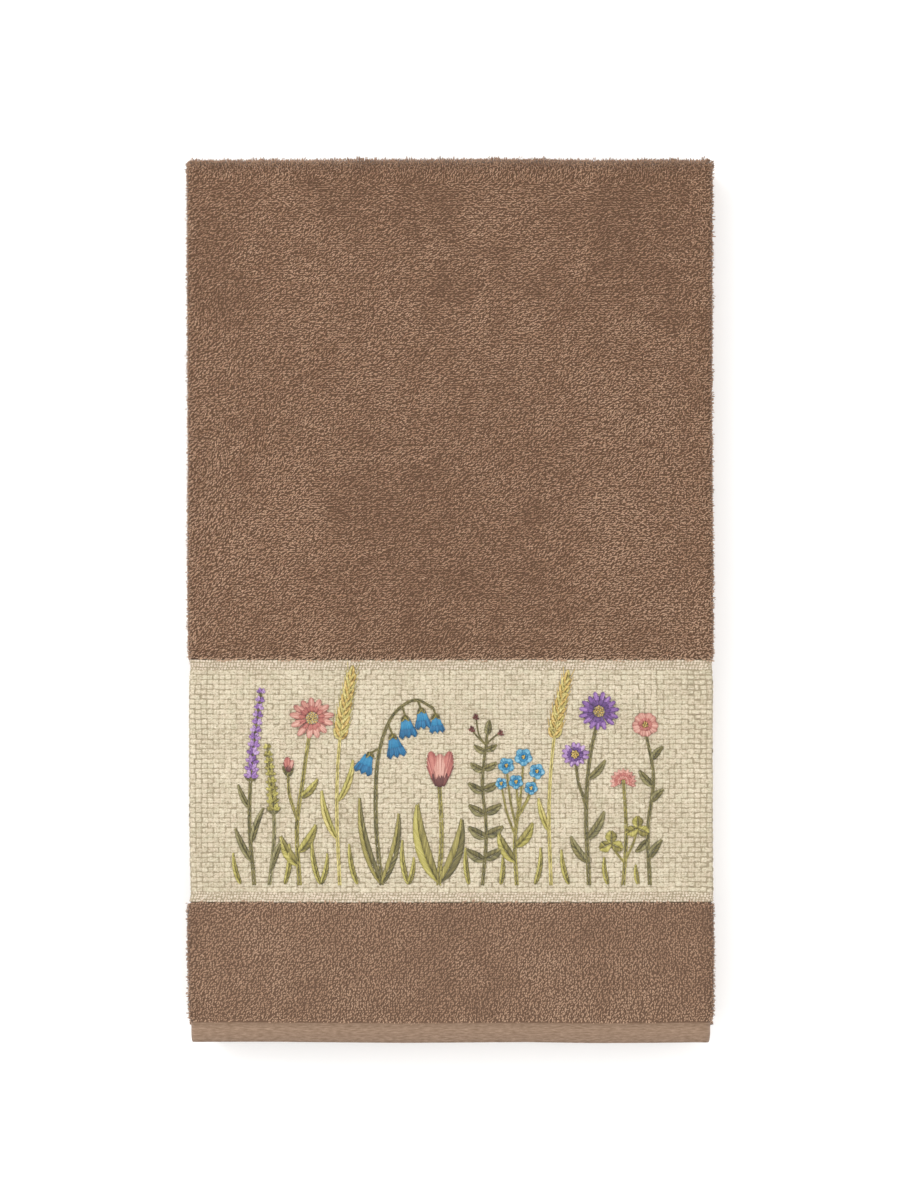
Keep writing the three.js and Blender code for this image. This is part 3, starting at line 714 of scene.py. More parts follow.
def make_pile(material):
    """All the loops that show: front, top fold, bottom fold, and the side folds below."""
    made = []
    ragged = lambda s_at, seed: (lambda a: s_at + 1.1 * noise(a, 0, 2.0, seed) + 0.6 * noise(a, 0, 7, seed + 1))
    hem_line, low_line, high_line = ragged(HEM - 0.1, 31), ragged(BAND_LOW + 0.25, 33), ragged(BAND_HIGH - 0.45, 35)
    made.append(pile("pile_strip", A1 - 3, A4 + 3, HEM - 1.8, BAND_LOW + 1.2, material, seed=11,
                     keep=lambda a, s: (s > np.maximum(hem_line(a), HEM + 0.3 - 3 * (1 - near_side_fold(a)))) & (s < mix(BAND_LOW + 0.25, low_line(a), 0.75))))
    field = [BAND_HIGH - 1.2 + k * 70 * LOOP_ALONG for k in range(4)]
    for number, where in enumerate(("lower", "middle", "upper")):
        made.append(pile(f"pile_field_{where}", A1 - 3, A4 + 3, field[number], field[number + 1], material, seed=12 + number,
                         keep=lambda a, s: s > mix(BAND_HIGH - 0.45, high_line(a), 0.8)))
    made.append(pile("pile_top_fold", A1 - 3, A4 + 3, field[3], S2 + 5, material, seed=16, lean=lambda a, s: mix(20, 66, ease(S1 - 9, S1 + 3, s)) + 20 * noise(a, s * 0.3, 9, 43)))
    level = lambda a, s: 25 + 15 * noise(a, s, 20, 41)
    back = {"across": BACK_ACROSS, "along": BACK_ALONG, "lean": level}
    for number, (start, stop) in enumerate(((A1 - 3, A2 + 3), (A3 - 3, A4 + 3))):
        made.append(pile(f"pile_side_{number + 1}_middle", start, stop, S2 + 5, S3 - 5, material, seed=21 + number, **back))
        made.append(pile(f"pile_side_{number + 1}_bottom", start, stop, S4 + 5, S5 - HEM - 1, material, seed=23 + number, height=1.44, **back))
    made.append(pile("pile_low_fold_left", SELVEDGE + 2, A2 + 3, S3 - 5, S4 + 5, material, seed=25, height=1.46,
                     keep=lambda a, s: a > -FLAP_EDGE + 55, **back))
    made.append(pile("pile_low_fold_right", A3 - 3, FLAT_WIDTH - SELVEDGE - 2, S3 - 5, S4 + 5, material, seed=26, height=1.46, **back))
    return made


# ---- The woven band -----------------------------------------------------------------------


def make_band(material):
    across = spread(0, 0.4, 1, (10, A1 - 10, 9), (A1 - 4, A1 - 1, 3), (A1, A2, 13), (A2 + 1, A2 + 7, 4),
                    (A2 + 14, A3 - 14, 25), (A3 - 7, A3 - 1, 4), (A3, A4, 13), (A4 + 1, A4 + 4, 3),
                    (A4 + 10, FLAT_WIDTH - 10, 9), FLAT_WIDTH - 1, FLAT_WIDTH - 0.4, FLAT_WIDTH)
    along = spread(BAND_LOW, BAND_LOW + 0.2, BAND_LOW + 0.6, (BAND_LOW + 2, BAND_LOW + 9, 5), (90, BAND_HIGH - 16, 12),
                   (BAND_HIGH - 9, BAND_HIGH - 2, 5), BAND_HIGH - 0.6, BAND_HIGH - 0.2, BAND_HIGH)

    def outer(a, s):
        edge = np.minimum(s - BAND_LOW, BAND_HIGH - s)
        return -0.2 + 0.55 * np.sqrt(np.clip(edge / 0.6, 0.15, 1))

    return sheet_piece("band_cloth", across, along, lambda a, s: np.full_like(a, -0.2), outer, material, {})


def wobble(which, place, seed):
    """How far a thread strays sideways along its length."""
    return 0.32 * noise(which * 3.7, place, 9.0, seed) + 0.20 * noise(which * 5.1, place, 3.1, seed + 1)


def slub(which, place, seed):
    """How thick a thread is along its length, about 1."""
    thin = np.clip(noise(which * 13.1, place, 13.0, seed + 2) - 0.45, 0, 1)
    return 1 + 0.07 * noise(which * 7.3, place, 11.0, seed) + 0.12 * noise(which * 3.3, place, 2.2, seed + 1) - 0.5 * thin


def make_net(material):
    """The paired threads of the basket weave, float by float."""
    local = np.random.default_rng(71)
    low, high = BAND_LOW + EDGE_STRIP, BAND_HIGH - EDGE_STRIP
    rows = int(round((high - low) / NET_ALONG))
    pitch = (high - low) / rows
    columns = int(round((A4 - A1 + 2) / NET_ACROSS))
    across = (A4 - A1 + 2) / columns
    i, j = (x.ravel() for x in np.meshgrid(np.arange(columns), np.arange(rows), indexing="ij"))
    up = ((i + j) % 2 == 0)[:, None]                           # lengthwise threads on top here
    ca, cs = A1 - 1 + (i + 0.5) * across, low + (j + 0.5) * pitch
    t = np.array([-1.0, -0.46, 0.46, 1.0])
    count = i.size
    along_s = cs[:, None] + t * (pitch / 2 + 0.12) + local.normal(0, 0.10, (count, 4))
    along_a = ca[:, None] + t * (across / 2 + 0.20) + local.normal(0, 0.10, (count, 4))
    line_a = ca[:, None] + 1.9 * wobble(i[:, None], along_s, 81)
    line_s = cs[:, None] + 1.15 * wobble(1000 + j[:, None], along_a, 83)
    centre = np.empty((count, 4, 3))
    centre[:, :, 0] = np.where(up, line_a, along_a)
    centre[:, :, 1] = np.where(up, along_s, line_s)
    thick = np.where(up, slub(i[:, None], along_s, 91), slub(1000 + j[:, None], along_a, 93))
    thick = thick * local.uniform(0.94, 1.06, count)[:, None] * local.uniform(0.93, 1.07, (count, 4))
    thick = np.where(local.random(count)[:, None] < 0.07, thick * 0.84, thick)
    # The weave opens a little where the cloth goes round the side folds, and gets darker painted shade there.
    opened = ease(A3 - 19, A3 - 8, ca) * mix(0.35, 1.0, ease(BAND_HIGH - 70, BAND_HIGH - 26, cs))
    # Here and there a row stands off from the next over a longer stretch, with darker painted shade at its float ends.
    lined = np.clip(noise(j * 43.0, ca, 24, 97), 0, 1.5)
    thick = thick * (1 - 0.07 * lined * ~up[:, 0])[:, None]
    thick = thick * (1 - 0.12 * np.maximum(ease(A2 + 14, A2 + 4, ca), ease(A3 - 14, A3 - 4, ca)) - 0.04 * opened)[:, None]
    half = np.where(up, across * 0.523, pitch * 0.477) * thick * np.array([0.80, 1.01, 1.01, 0.80])
    crest = 0.80 + 0.30 * (thick - 1) + local.normal(0, 0.05, count)[:, None]
    centre[:, :, 2] = 0.34 + (crest - 0.34) * np.array([0.0, 1.0, 1.0, 0.0])
    tone = local.normal(0, 0.20, count) + 0.3 * noise(ca, cs, 14, 95) + 0.2 * noise(ca, cs, 4, 96)
    order = np.argsort(up[:, 0], kind="stable")
    # How dark the painted shade at each float's ends is: random, much darker for a few, and darker where the weave
    # opens or a row stands off.
    bold = local.uniform(0.3, 1.5, count) * np.where(local.random(count) < 0.12, 1.8, 1.0) * (1 + 1.3 * opened) * (1 + 0.7 * lined)
    dip = (np.where(up, 1.0, 0.2) * np.array([1.0, 0.0, 0.0, 1.0]) * bold[:, None])[order]
    return strands("band_weave", centre[order], half[order], np.full((count, 4), 0.26), tone[order], material,
                   section=FACET_PAIR, extra={"dip": dip, "pair": local.uniform(0.2, 1.3, count)[order]})


def make_edge_weave(material):
    """The closer weave along both edges of the band."""
    local = np.random.default_rng(72)
    made = []
    for start in (BAND_LOW + 0.25, BAND_HIGH - EDGE_STRIP):
        rows, columns = 4, int(round((A4 - A1 + 2) / 1.55))
        pitch, across = (EDGE_STRIP - 0.25) / rows, (A4 - A1 + 2) / columns
        i, j = (x.ravel() for x in np.meshgrid(np.arange(columns), np.arange(rows), indexing="ij"))
        up = (i + j) % 2 == 0
        count = i.size
        t = np.array([-1.0, 0.0, 1.0])
        ca = A1 - 1 + (i + 0.5 + 0.22 * j) * across + 0.34 * noise(i * 0.8, j * 2, 1.3, 5) + local.normal(0, 0.12, count)
        cs = start + (j + 0.5) * pitch + 0.26 * noise(i * 0.6, j * 3, 1.7, 6) + local.normal(0, 0.09, count)
        centre = np.empty((count, 3, 3))
        centre[:, :, 0] = ca[:, None] + np.where(up[:, None], 0, t * (across / 2 + 0.14))
        centre[:, :, 1] = cs[:, None] + np.where(up[:, None], t * (pitch / 2 + 0.14), 0)
        centre[:, :, 2] = 0.30 + (0.72 + local.normal(0, 0.05, count) - 0.30)[:, None] * np.array([0.0, 1.0, 0.0])
        half = np.where(up, across * 0.50, pitch * 0.49)[:, None] * local.uniform(0.80, 1.08, count)[:, None] * np.array([0.85, 1.05, 0.85])
        made.append((centre, half, local.normal(0.0, 0.45, count)))
    centre, half, tone = (np.concatenate(x) for x in zip(*made))
    # Painted shade at both ends of every float.
    dip = np.broadcast_to(np.array([1.0, 0.0, 1.0]), (len(centre), 3)) * 0.6
    return strands("band_edge_weave", centre, half, half * 0.5, tone, material, extra={"dip": dip, "pair": np.zeros(len(centre))})


# ---- Stitched flowers ---------------------------------------------------------------------

GROUND_LINE = 82.5           # where the stems start, above the hem edge
stitched = {}                # colour -> list of stitches
needle = np.random.default_rng(404)


def stitch(colour, start, end, width=0.5, lift=0.42, tone=0.0, layer=0.0):
    """One stitch from start to end, both (across, up) from the middle of the ground line."""
    stitched.setdefault(colour, []).append((*start, *end, width, lift, tone + needle.normal(0, 0.30), layer))


def path(points, pitch=0.5):
    """A smooth line through points, as evenly spaced places and their directions."""
    p = np.array(points, float)
    if len(p) == 2:
        dense = p[0] + (p[1] - p[0]) * np.linspace(0, 1, 40)[:, None]
    else:
        p = np.vstack([2 * p[0] - p[1], p, 2 * p[-1] - p[-2]])
        t = np.linspace(0, 1, 24, endpoint=False)[:, None]
        parts = []
        for k in range(1, len(p) - 2):
            p0, p1, p2, p3 = p[k - 1:k + 3]
            parts.append(0.5 * (2 * p1 + (p2 - p0) * t + (2 * p0 - 5 * p1 + 4 * p2 - p3) * t ** 2 + (3 * p1 - p0 - 3 * p2 + p3) * t ** 3))
        dense = np.vstack(parts + [p[-2:-1]])
    run = np.concatenate([[0], np.cumsum(np.linalg.norm(np.diff(dense, axis=0), axis=1))])
    steps = np.linspace(0, run[-1], max(3, int(round(run[-1] / pitch)) + 1))
    line = np.stack([np.interp(steps, run, dense[:, 0]), np.interp(steps, run, dense[:, 1])], 1)
    way = np.gradient(line, axis=0)
    return line, way / np.linalg.norm(way, axis=1)[:, None], steps


def stem(colour, points, width=2.2, tone=0.0, layer=0.0, taper=0.75):
    """A stem of four rows of long stitches, with a dark line down its middle."""
    width = width * 1.14
    line, way, steps = path(points, 0.4)
    out = np.stack([-way[:, 1], way[:, 0]], 1)
    length = steps[-1]
    at = lambda x, off: np.array([np.interp(x, steps, line[:, 0] + out[:, 0] * off(x)), np.interp(x, steps, line[:, 1] + out[:, 1] * off(x))])
    for row, share in enumerate((-0.37, -0.17, 0.17, 0.37)):
        begin = -needle.uniform(0, 2.6)
        while begin < length - 0.5:
            end = begin + needle.uniform(3.0, 3.8)
            off = lambda x: share * width * mix(1, taper, min(max(x / length, 0), 1))
            b, e = max(begin, 0.0), min(end, length)
            stitch(colour, at(b, off), at(e, off), width * 0.27 * mix(1, taper, b / length), 0.40, tone + (0.18 if row in (0, 3) else -0.22), layer)
            begin = end - 0.35


def leaf(colour_left, colour_right, base, tip, width, bend=0.0, pitch=0.54, tone=0.0, layer=0.12, full=0.8, slant=0.16, rib=0.14):
    """A leaf of slanting satin stitches either side of its midrib."""
    width = width * 1.22
    base, tip = np.array(base, float), np.array(tip, float)
    chord = tip - base
    length = np.hypot(*chord)
    across = np.array([-chord[1], chord[0]]) / length
    middle = lambda t: base + chord * t + across * bend * 4 * t * (1 - t)
    girth = lambda t: width / 2 * np.sin(math.pi * np.clip(t, 0, 1) ** full) ** 0.85 if 0 < t < 1 else 0.0
    for side, colour in ((1, colour_left), (-1, colour_right)):
        count = max(5, int(length / pitch))
        for k in range(count):
            t = (k + 0.5) / count
            t_edge = min(t + slant, 1.0) if t < 1 - slant else mix(t, 1.0, 0.85)
            t_in = t * 0.97
            start = middle(t_in) + across * side * rib
            end = middle(t_edge) + across * side * (girth(t_edge * 0.93 + 0.02) + 0.1)
            # Besides its two threads, each leaf has one half painted lighter and the other darker, as painted light and
            # shade, and it darkens towards its base.
            stitch(colour, start, end, 0.62, 0.42 + 0.14 * min(1, width / 6), tone + (0.16 if side > 0 else -0.16) - 0.25 * (1 - t), layer)


def petal(colour_in, colour_out, base, tip, width, tone=0.0, layer=0.3, split=0.5, full=1.35, pitch=0.54, tip_cut=0.0):
    """A petal of long and short stitches that fan from its base to its rounded edge."""
    base, tip = np.array(base, float), np.array(tip, float)
    chord = tip - base
    length = np.hypot(*chord)
    across = np.array([-chord[1], chord[0]]) / length
    count = max(3, int(round(width / pitch)))
    for k in range(count):
        x = -1 + 2 * (k + 0.5) / count
        reach = (1 - 0.42 * abs(x) ** 2.4) * (1 - tip_cut * (1 - abs(x)) ** 2)
        edge = base + chord * reach + across * x * width / 2
        foot = base + chord * 0.06 + across * x * width * 0.10
        out = lambda f: foot + (edge - foot) * f + across * x * width * 0.5 * (f * (1 - f)) * (full - 1)
        a, b = split + needle.uniform(-0.08, 0.10), split + needle.uniform(0.0, 0.16)
        if length * (1 - a) > 0.6:
            # The outermost stitches of a wide petal are darker: partly a darker outline, partly painted shade at its
            # edge.
            rim = -0.42 if k in (0, count - 1) and count > 4 else 0.0
            stitch(colour_out, out(max(0.0, a - 0.1)), out(1.0), 0.62, 0.50, tone + 0.16 * (1 - abs(x)) + rim, layer)
        stitch(colour_in, out(0.0), out(min(1, b)), 0.54, 0.46, tone - 0.1, layer + 0.06)


def knots(colour, centre, radius, count, size=0.85, tone=0.0, layer=0.55):
    """A cluster of small knots."""
    centre = np.array(centre, float)
    for k in range(count):
        r, turn = radius * math.sqrt((k + 0.4) / count), k * 2.39996
        p = centre + r * np.array([math.cos(turn), math.sin(turn)])
        way = np.array([math.cos(turn * 1.7), math.sin(turn * 1.7)]) * size * 0.45
        stitch(colour, p - way, p + way, size, 0.62, tone, layer)


def turned(angle, length=1.0):
    return length * np.array([math.cos(math.radians(angle)), math.sin(math.radians(angle))])


def daisy(centre, radius, count, inside, outside, heart, turn=0.0, squash=1.0, hole=0.24):
    centre, radius = np.array(centre, float), radius * 1.12
    for k in range(count):
        way = turned(turn + 360 * k / count + needle.normal(0, 2.0))
        way[1] *= squash
        far = radius * needle.uniform(0.93, 1.05)
        petal(inside, outside, centre + way * radius * hole, centre + way * far, 2 * math.pi * radius * 0.74 / count, tone=needle.normal(0, 0.12), split=0.42)
    knots(heart, centre, radius * hole * 1.12, int(8 + radius * 1.2), 0.9)


def bell(top, way, length, width, inside, outside):
    """A hanging bell: narrow where it joins, flared and pointed at its mouth."""
    top, length, width = np.array(top, float), length * 1.10, width * 1.14
    down = turned(way)
    across = np.array([-down[1], down[0]])
    count = int(width / 0.54)
    for k in range(count):
        x = -1 + 2 * (k + 0.5) / count
        point = abs(((x + 1) * 1.5) % 1 - 0.5) * 2          # three points along the mouth
        far = length * (0.86 + 0.16 * (1 - point))
        shoulder = top + down * length * 0.10 + across * x * width * 0.20
        waist = top + down * length * 0.55 + across * x * width * 0.36
        mouth = top + down * far + across * x * width * 0.5
        stitch(inside, shoulder, waist + down * 0.8, 0.60, 0.50, 0.2 * (1 - abs(x)) - 0.1, 0.34)
        stitch(outside, waist - down * 0.5, mouth, 0.62, 0.46, 0.2 * (1 - abs(x)) - 0.1, 0.3)


def spike(line_points, colours, leaf_colour, start=0.45, size=3.4, rows=10):
    """Small blooms in whorls up the top of a stem."""
    line, way, steps = path(line_points, 0.5)
    for k in range(rows):
        f = mix(start, 1.0, k / (rows - 1))
        n = int(f * (len(line) - 1))
        p, w = line[n], way[n]
        facing = math.degrees(math.atan2(w[1], w[0]))
        grow = size * mix(1.0, 0.62, k / (rows - 1))
        for m, swing in enumerate((-62, 62, -24, 24)):
            colour = colours[(k + m) % len(colours)]
            tip = p + turned(facing + swing + needle.normal(0, 5), grow * (1.0 if abs(swing) > 40 else 1.15))
            petal(colour, colour, p + turned(facing + swing, 0.3), tip, grow * 0.52, tone=needle.normal(0, 0.2), split=0.55, layer=0.26 + 0.05 * m)
        if k == 0:
            for swing in (-50, 50):
                leaf(leaf_colour, leaf_colour, p - w * 1.5, p - w * 1.5 + turned(facing + swing, 4.5), 1.5)


def ear(line_points, colours, start=0.66, rows=9, size=6.2, awns=True):
    """An ear of grain: pairs of grains up the stem, each with its awn."""
    line, way, steps = path(line_points, 0.5)
    for k in range(rows):
        f = mix(start, 0.97, k / (rows - 1))
        n = int(f * (len(line) - 1))
        p, w = line[n], way[n]
        facing = math.degrees(math.atan2(w[1], w[0]))
        for side in (-1, 1):
            tip = p + turned(facing + side * mix(34, 18, k / rows), size * mix(1.0, 0.85, k / rows))
            leaf(colours[k % 2], colours[(k + 1) % 2], p, tip, size * 0.38, bend=side * 0.3, tone=0.05 * side, layer=0.2, slant=0.2)
            if awns:
                stitch(colours[0], tip, tip + turned(facing + side * 14, size * 0.9), 0.32, 0.22, -0.1, 0.1)
    leaf(colours[0], colours[1], line[-1], line[-1] + way[-1] * size * 0.9, size * 0.36, layer=0.22)


def blades(colour_a, colour_b, x, tips, width=2.6):
    for tip_x, tip_y, bend in tips:
        leaf(colour_a, colour_b, (x, 0.3), (tip_x, tip_y), width, bend=bend, pitch=0.6, slant=0.10, full=0.7, layer=0.05)


def design():
    """A row of garden and meadow plants."""
    # A spike of lavender and one gone to seed.
    first = [(-103, 0), (-105.5, 34), (-104, 66), (-99.5, 101)]
    second = [(-95, 0), (-92.5, 26), (-93.5, 50), (-96, 72)]
    stem("moss", first, 1.9)
    stem("sage", second, 1.8)
    spike(first, ["violet", "lilac"], "moss", start=0.56, size=4.3, rows=12)
    spike(second, ["lime", "olive"], "sage", start=0.55, size=4.0, rows=10)
    for x, y, tx, ty, w in ((-104, 12, -113, 30, 2.6), (-104.5, 22, -98, 41, 2.4), (-94, 8, -87.5, 25, 2.4), (-105, 40, -111.5, 53, 2.2)):
        leaf("sage", "moss", (x, y), (tx, ty), w, bend=0.8)

    # A rose daisy with a bud.
    stalk = [(-79, 0), (-80.5, 30), (-77, 58), (-73.5, 83)]
    stem("olive", stalk, 2.1)
    stem("olive", [(-80, 34), (-84.5, 48), (-85, 60)], 1.6, layer=0.05)
    petal("maroon", "rose", (-85, 59), (-85.6, 67.5), 4.8, split=0.4)
    petal("maroon", "pink", (-85, 59), (-82.6, 66), 2.8, split=0.4, layer=0.36)
    leaf("moss", "moss", (-85, 57.5), (-88, 62.5), 1.8)
    leaf("moss", "moss", (-85, 57.5), (-82.6, 62), 1.8)
    daisy((-72.5, 88), 10.2, 13, "rose", "pink", "gold", turn=8)
    for x, y, tx, ty, w, b in ((-79.6, 10, -89, 26, 4.2, 1.4), (-79.8, 17, -70.5, 32, 4.0, -1.2), (-78.6, 46, -69.5, 56, 3.2, -1.0)):
        leaf("lime", "olive", (x, y), (tx, ty), w, bend=b)

    # An ear of wheat.
    straw = [(-58, 0), (-59.5, 40), (-58, 76), (-52, 110)]
    stem("straw", straw, 1.7)
    ear(straw, ["straw", "gold"], start=0.70, rows=9, size=6.4)
    leaf("straw", "lime", (-59.4, 24), (-67.5, 50), 2.8, bend=1.8, pitch=0.55)
    leaf("lime", "straw", (-58.8, 44), (-51, 66), 2.6, bend=-1.6, pitch=0.55)

    # Bluebells on an arched stem.
    arch = [(-36, 0), (-39, 34), (-38, 66), (-31, 88), (-19, 97.5), (-8.5, 93)]
    stem("moss", arch, 2.2, taper=0.6)
    for x, y, bx, by, way, size in ((-8.8, 93.2, -7.6, 89.5, -84, 8.6), (-17, 97.2, -15.2, 92.6, -82, 9.6), (-25.2, 94.5, -23.6, 88.6, -80, 10.4),
                                    (-32.6, 85.0, -30.2, 79.0, -78, 11.0), (-37.2, 72.0, -42.2, 69.5, -112, 10.6)):
        stem("moss", [(x, y), (bx, by)], 1.1)
        bell((bx, by), way, size, size * 0.86, "azure", "blue")
        leaf("olive", "moss", (bx, by + 0.8), (bx - 1.9, by - 2.4), 1.5, layer=0.5)
        leaf("moss", "olive", (bx, by + 0.8), (bx + 2.1, by - 2.2), 1.5, layer=0.5)
    blades("olive", "moss", -36, [(-47.5, 46, 3.0), (-27, 38, -2.4)], 3.6)

    # A tulip with two broad leaves.
    flower = [(-6, 0), (-4.5, 26), (-5.5, 52)]
    stem("olive", flower, 2.3)
    for dx, lean, shade in ((-4.2, -0.6, "rose"), (4.6, 0.9, "rose")):
        petal("maroon", shade, (-5.5 + dx * 0.28, 51), (-5.5 + dx + lean, 70.5), 7.4, split=0.35, layer=0.26)
    petal("maroon", "pink", (-5.5, 50.6), (-5.3, 69.2), 8.2, split=0.3, layer=0.42)
    leaf("lime", "olive", (-6, 1), (-17.2, 43), 6.0, bend=3.4, tone=0.05)
    leaf("olive", "moss", (-5.6, 1), (6.2, 35), 5.4, bend=-3.0)

    # A sprig of paired oval leaves with berries.
    sprig = [(17, 0), (19, 28), (17, 54), (19.5, 80)]
    stem("moss", sprig, 1.7)
    for k, (y, size) in enumerate(((13, 9.6), (25, 9.2), (37, 8.6), (49, 7.8), (60, 7.0), (70, 6.0))):
        x = np.interp(y, [0, 28, 54, 80], [17, 19, 17, 19.5])
        leaf("sage", "moss", (x, y), (x - size, y + size * 0.62), size * 0.44, bend=0.5)
        leaf("moss", "sage", (x, y + 1), (x + size, y + size * 0.66), size * 0.44, bend=-0.5)
    leaf("sage", "moss", (19.5, 79), (20.6, 87), 3.0)
    for bx, by in ((11.4, 82), (26.6, 80), (13.6, 88.4)):
        stem("moss", [(18.6, 74), (mix(18.6, bx, 0.7), 79), (bx, by)], 0.9)
        knots("maroon", (bx, by), 1.5, 7, 1.1)

    # Forget-me-nots.
    stem("olive", [(35, 0), (34, 24), (37, 46)], 1.9)
    for x, y, r, joint in ((29.5, 63, 4.4, 30), (38.5, 67.5, 4.8, 40), (45.6, 60, 4.2, 36), (34.6, 54.5, 3.9, 40), (42.5, 51.2, 3.6, 38), (26.8, 53.6, 3.2, 26)):
        jx = np.interp(joint, [0, 24, 46], [35, 34, 37])
        stem("olive", [(jx, joint), (mix(jx, x, 0.6), mix(joint, y, 0.45)), (x, y)], 1.1)
    for x, y, r in ((29.5, 63, 4.4), (38.5, 67.5, 4.8), (45.6, 60, 4.2), (34.6, 54.5, 3.9), (42.5, 51.2, 3.6), (26.8, 53.6, 3.2)):
        for k in range(5):
            way = turned(90 + 72 * k + x)
            petal("azure", "sky", (x, y) + way * 0.6, (x, y) + way * r, r * 0.98, split=0.4, full=1.7, tone=needle.normal(0, 0.1))
        knots("gold", (x, y), 0.8, 4, 0.9)
    leaf("lime", "olive", (34.4, 12), (25.4, 28), 4.4, bend=1.6)
    leaf("olive", "lime", (34.2, 20), (43.4, 33), 4.2, bend=-1.4)

    # A second, taller ear.
    straw = [(53, 0), (52, 42), (55, 80), (61, 108)]
    stem("straw", straw, 1.7)
    ear(straw, ["gold", "straw"], start=0.72, rows=8, size=6.0)
    leaf("lime", "straw", (52.2, 28), (46.4, 46), 2.4, bend=0.8, pitch=0.55)

    # Violet asters.
    stem("moss", [(73, 0), (71.5, 36), (73, 64), (77.5, 87)], 2.1)
    stem("moss", [(72, 40), (67.5, 54), (66, 64)], 1.6, layer=0.05)
    daisy((78.2, 91.5), 9.2, 15, "purple", "violet", "gold", turn=5)
    daisy((65.6, 69), 6.6, 12, "purple", "lilac", "gold", turn=12, squash=0.9)
    for x, y, tx, ty, w, b in ((72.4, 12, 63.4, 26, 3.4, 1.2), (71.8, 24, 81, 39, 3.6, -1.2), (72.8, 56, 81.6, 66, 3.0, -0.9)):
        leaf("moss", "sage", (x, y), (tx, ty), w, bend=b)

    # Clover.
    stem("olive", [(91, 0), (92.5, 28), (91, 56.5)], 1.8)
    for ring, (count, r) in enumerate(((11, 7.0), (9, 5.2), (7, 3.2))):
        for k in range(count):
            way = turned(90 + (k - (count - 1) / 2) * 240 / count)
            foot = np.array([91, 54.5])
            petal("rose", "pink" if ring != 1 else "rose", foot + way * r * 0.35, foot + way * r, 2.3, split=0.5, layer=0.2 + 0.12 * ring, tone=0.12 * ring)
    for x, y, size in ((84.6, 22, 5.0), (98.6, 30, 4.8)):
        stem("olive", [(91.6, 12), (mix(91.6, x, 0.7), mix(12, y, 0.6)), (x, y)], 1.2)
        for way in (90, 205, -25):
            tip = np.array([x, y]) + turned(way, size * 1.35)
            leaf("lime", "olive", (x, y), tip, size * 1.0, full=1.15, layer=0.16)

    # A blossom on a leafy twig.
    stem("moss", [(105, 0), (104, 30), (107, 56), (103, 80)], 1.9)
    for k in range(5):
        way = turned(54 + 72 * k)
        way[1] *= 0.92
        petal("rose", "pink", np.array([102.6, 84.5]) + way * 1.0, np.array([102.6, 84.5]) + way * 7.4, 7.4, split=0.36, full=1.7, tip_cut=0.12)
    knots("gold", (102.6, 84.5), 1.5, 8, 0.85)
    for x, y, tx, ty, w in ((104.4, 14, 111.5, 24, 3.4), (104, 24, 97.5, 17.5, 3.2), (105.6, 44, 112.4, 50.5, 3.2), (106.6, 52, 99.4, 60.5, 3.2), (106, 66, 112, 73, 3.0)):
        leaf("sage", "moss", (x, y), (tx, ty), w, bend=0.5)

    # Grass between the plants.
    for x, tips in ((-110, [(-114, 17, 1.0)]), (-87, [(-84.5, 22, -1.2)]), (-68, [(-72.5, 24, 1.4), (-64.5, 17, -1.0)]), (-48.5, [(-53, 22, 1.2)]),
                    (-22, [(-25, 24, 1.4), (-19, 15, -0.8)]), (10, [(8.2, 20, 0.8)]), (26.5, [(27.6, 15, -0.6)]), (44.5, [(47.5, 20, -1.2)]),
                    (62.5, [(58.5, 19, 1.0)]), (83, [(81, 15, 0.8)]), (99, [(97.6, 11, 0.5)])):
        blades("lime", "olive", x, tips, 2.0)


THREADS = {
    "moss": ((0.034, 0.030, 0.007), (0.142, 0.118, 0.034), (0.29, 0.245, 0.088)),
    "sage": ((0.054, 0.048, 0.016), (0.195, 0.170, 0.066), (0.36, 0.315, 0.145)),
    "olive": ((0.060, 0.050, 0.008), (0.245, 0.203, 0.046), (0.43, 0.370, 0.110)),
    "lime": ((0.120, 0.102, 0.014), (0.360, 0.312, 0.070), (0.57, 0.505, 0.165)),
    "straw": ((0.180, 0.142, 0.026), (0.480, 0.400, 0.125), (0.70, 0.61, 0.28)),
    "gold": ((0.200, 0.120, 0.020), (0.520, 0.355, 0.095), (0.72, 0.57, 0.24)),
    "blue": ((0.003, 0.036, 0.085), (0.005, 0.110, 0.240), (0.022, 0.20, 0.39)),
    "azure": ((0.003, 0.050, 0.115), (0.007, 0.155, 0.315), (0.045, 0.28, 0.46)),
    "sky": ((0.016, 0.095, 0.180), (0.070, 0.270, 0.410), (0.28, 0.50, 0.62)),
    "rose": ((0.150, 0.028, 0.028), (0.380, 0.115, 0.092), (0.57, 0.245, 0.200)),
    "pink": ((0.230, 0.075, 0.060), (0.480, 0.215, 0.168), (0.68, 0.42, 0.345)),
    "maroon": ((0.036, 0.008, 0.008), (0.115, 0.028, 0.024), (0.23, 0.075, 0.060)),
    "violet": ((0.055, 0.022, 0.090), (0.200, 0.090, 0.290), (0.38, 0.22, 0.47)),
    "lilac": ((0.110, 0.052, 0.150), (0.330, 0.190, 0.400), (0.53, 0.38, 0.58)),
    "purple": ((0.030, 0.011, 0.052), (0.095, 0.038, 0.160), (0.20, 0.10, 0.30)),
}


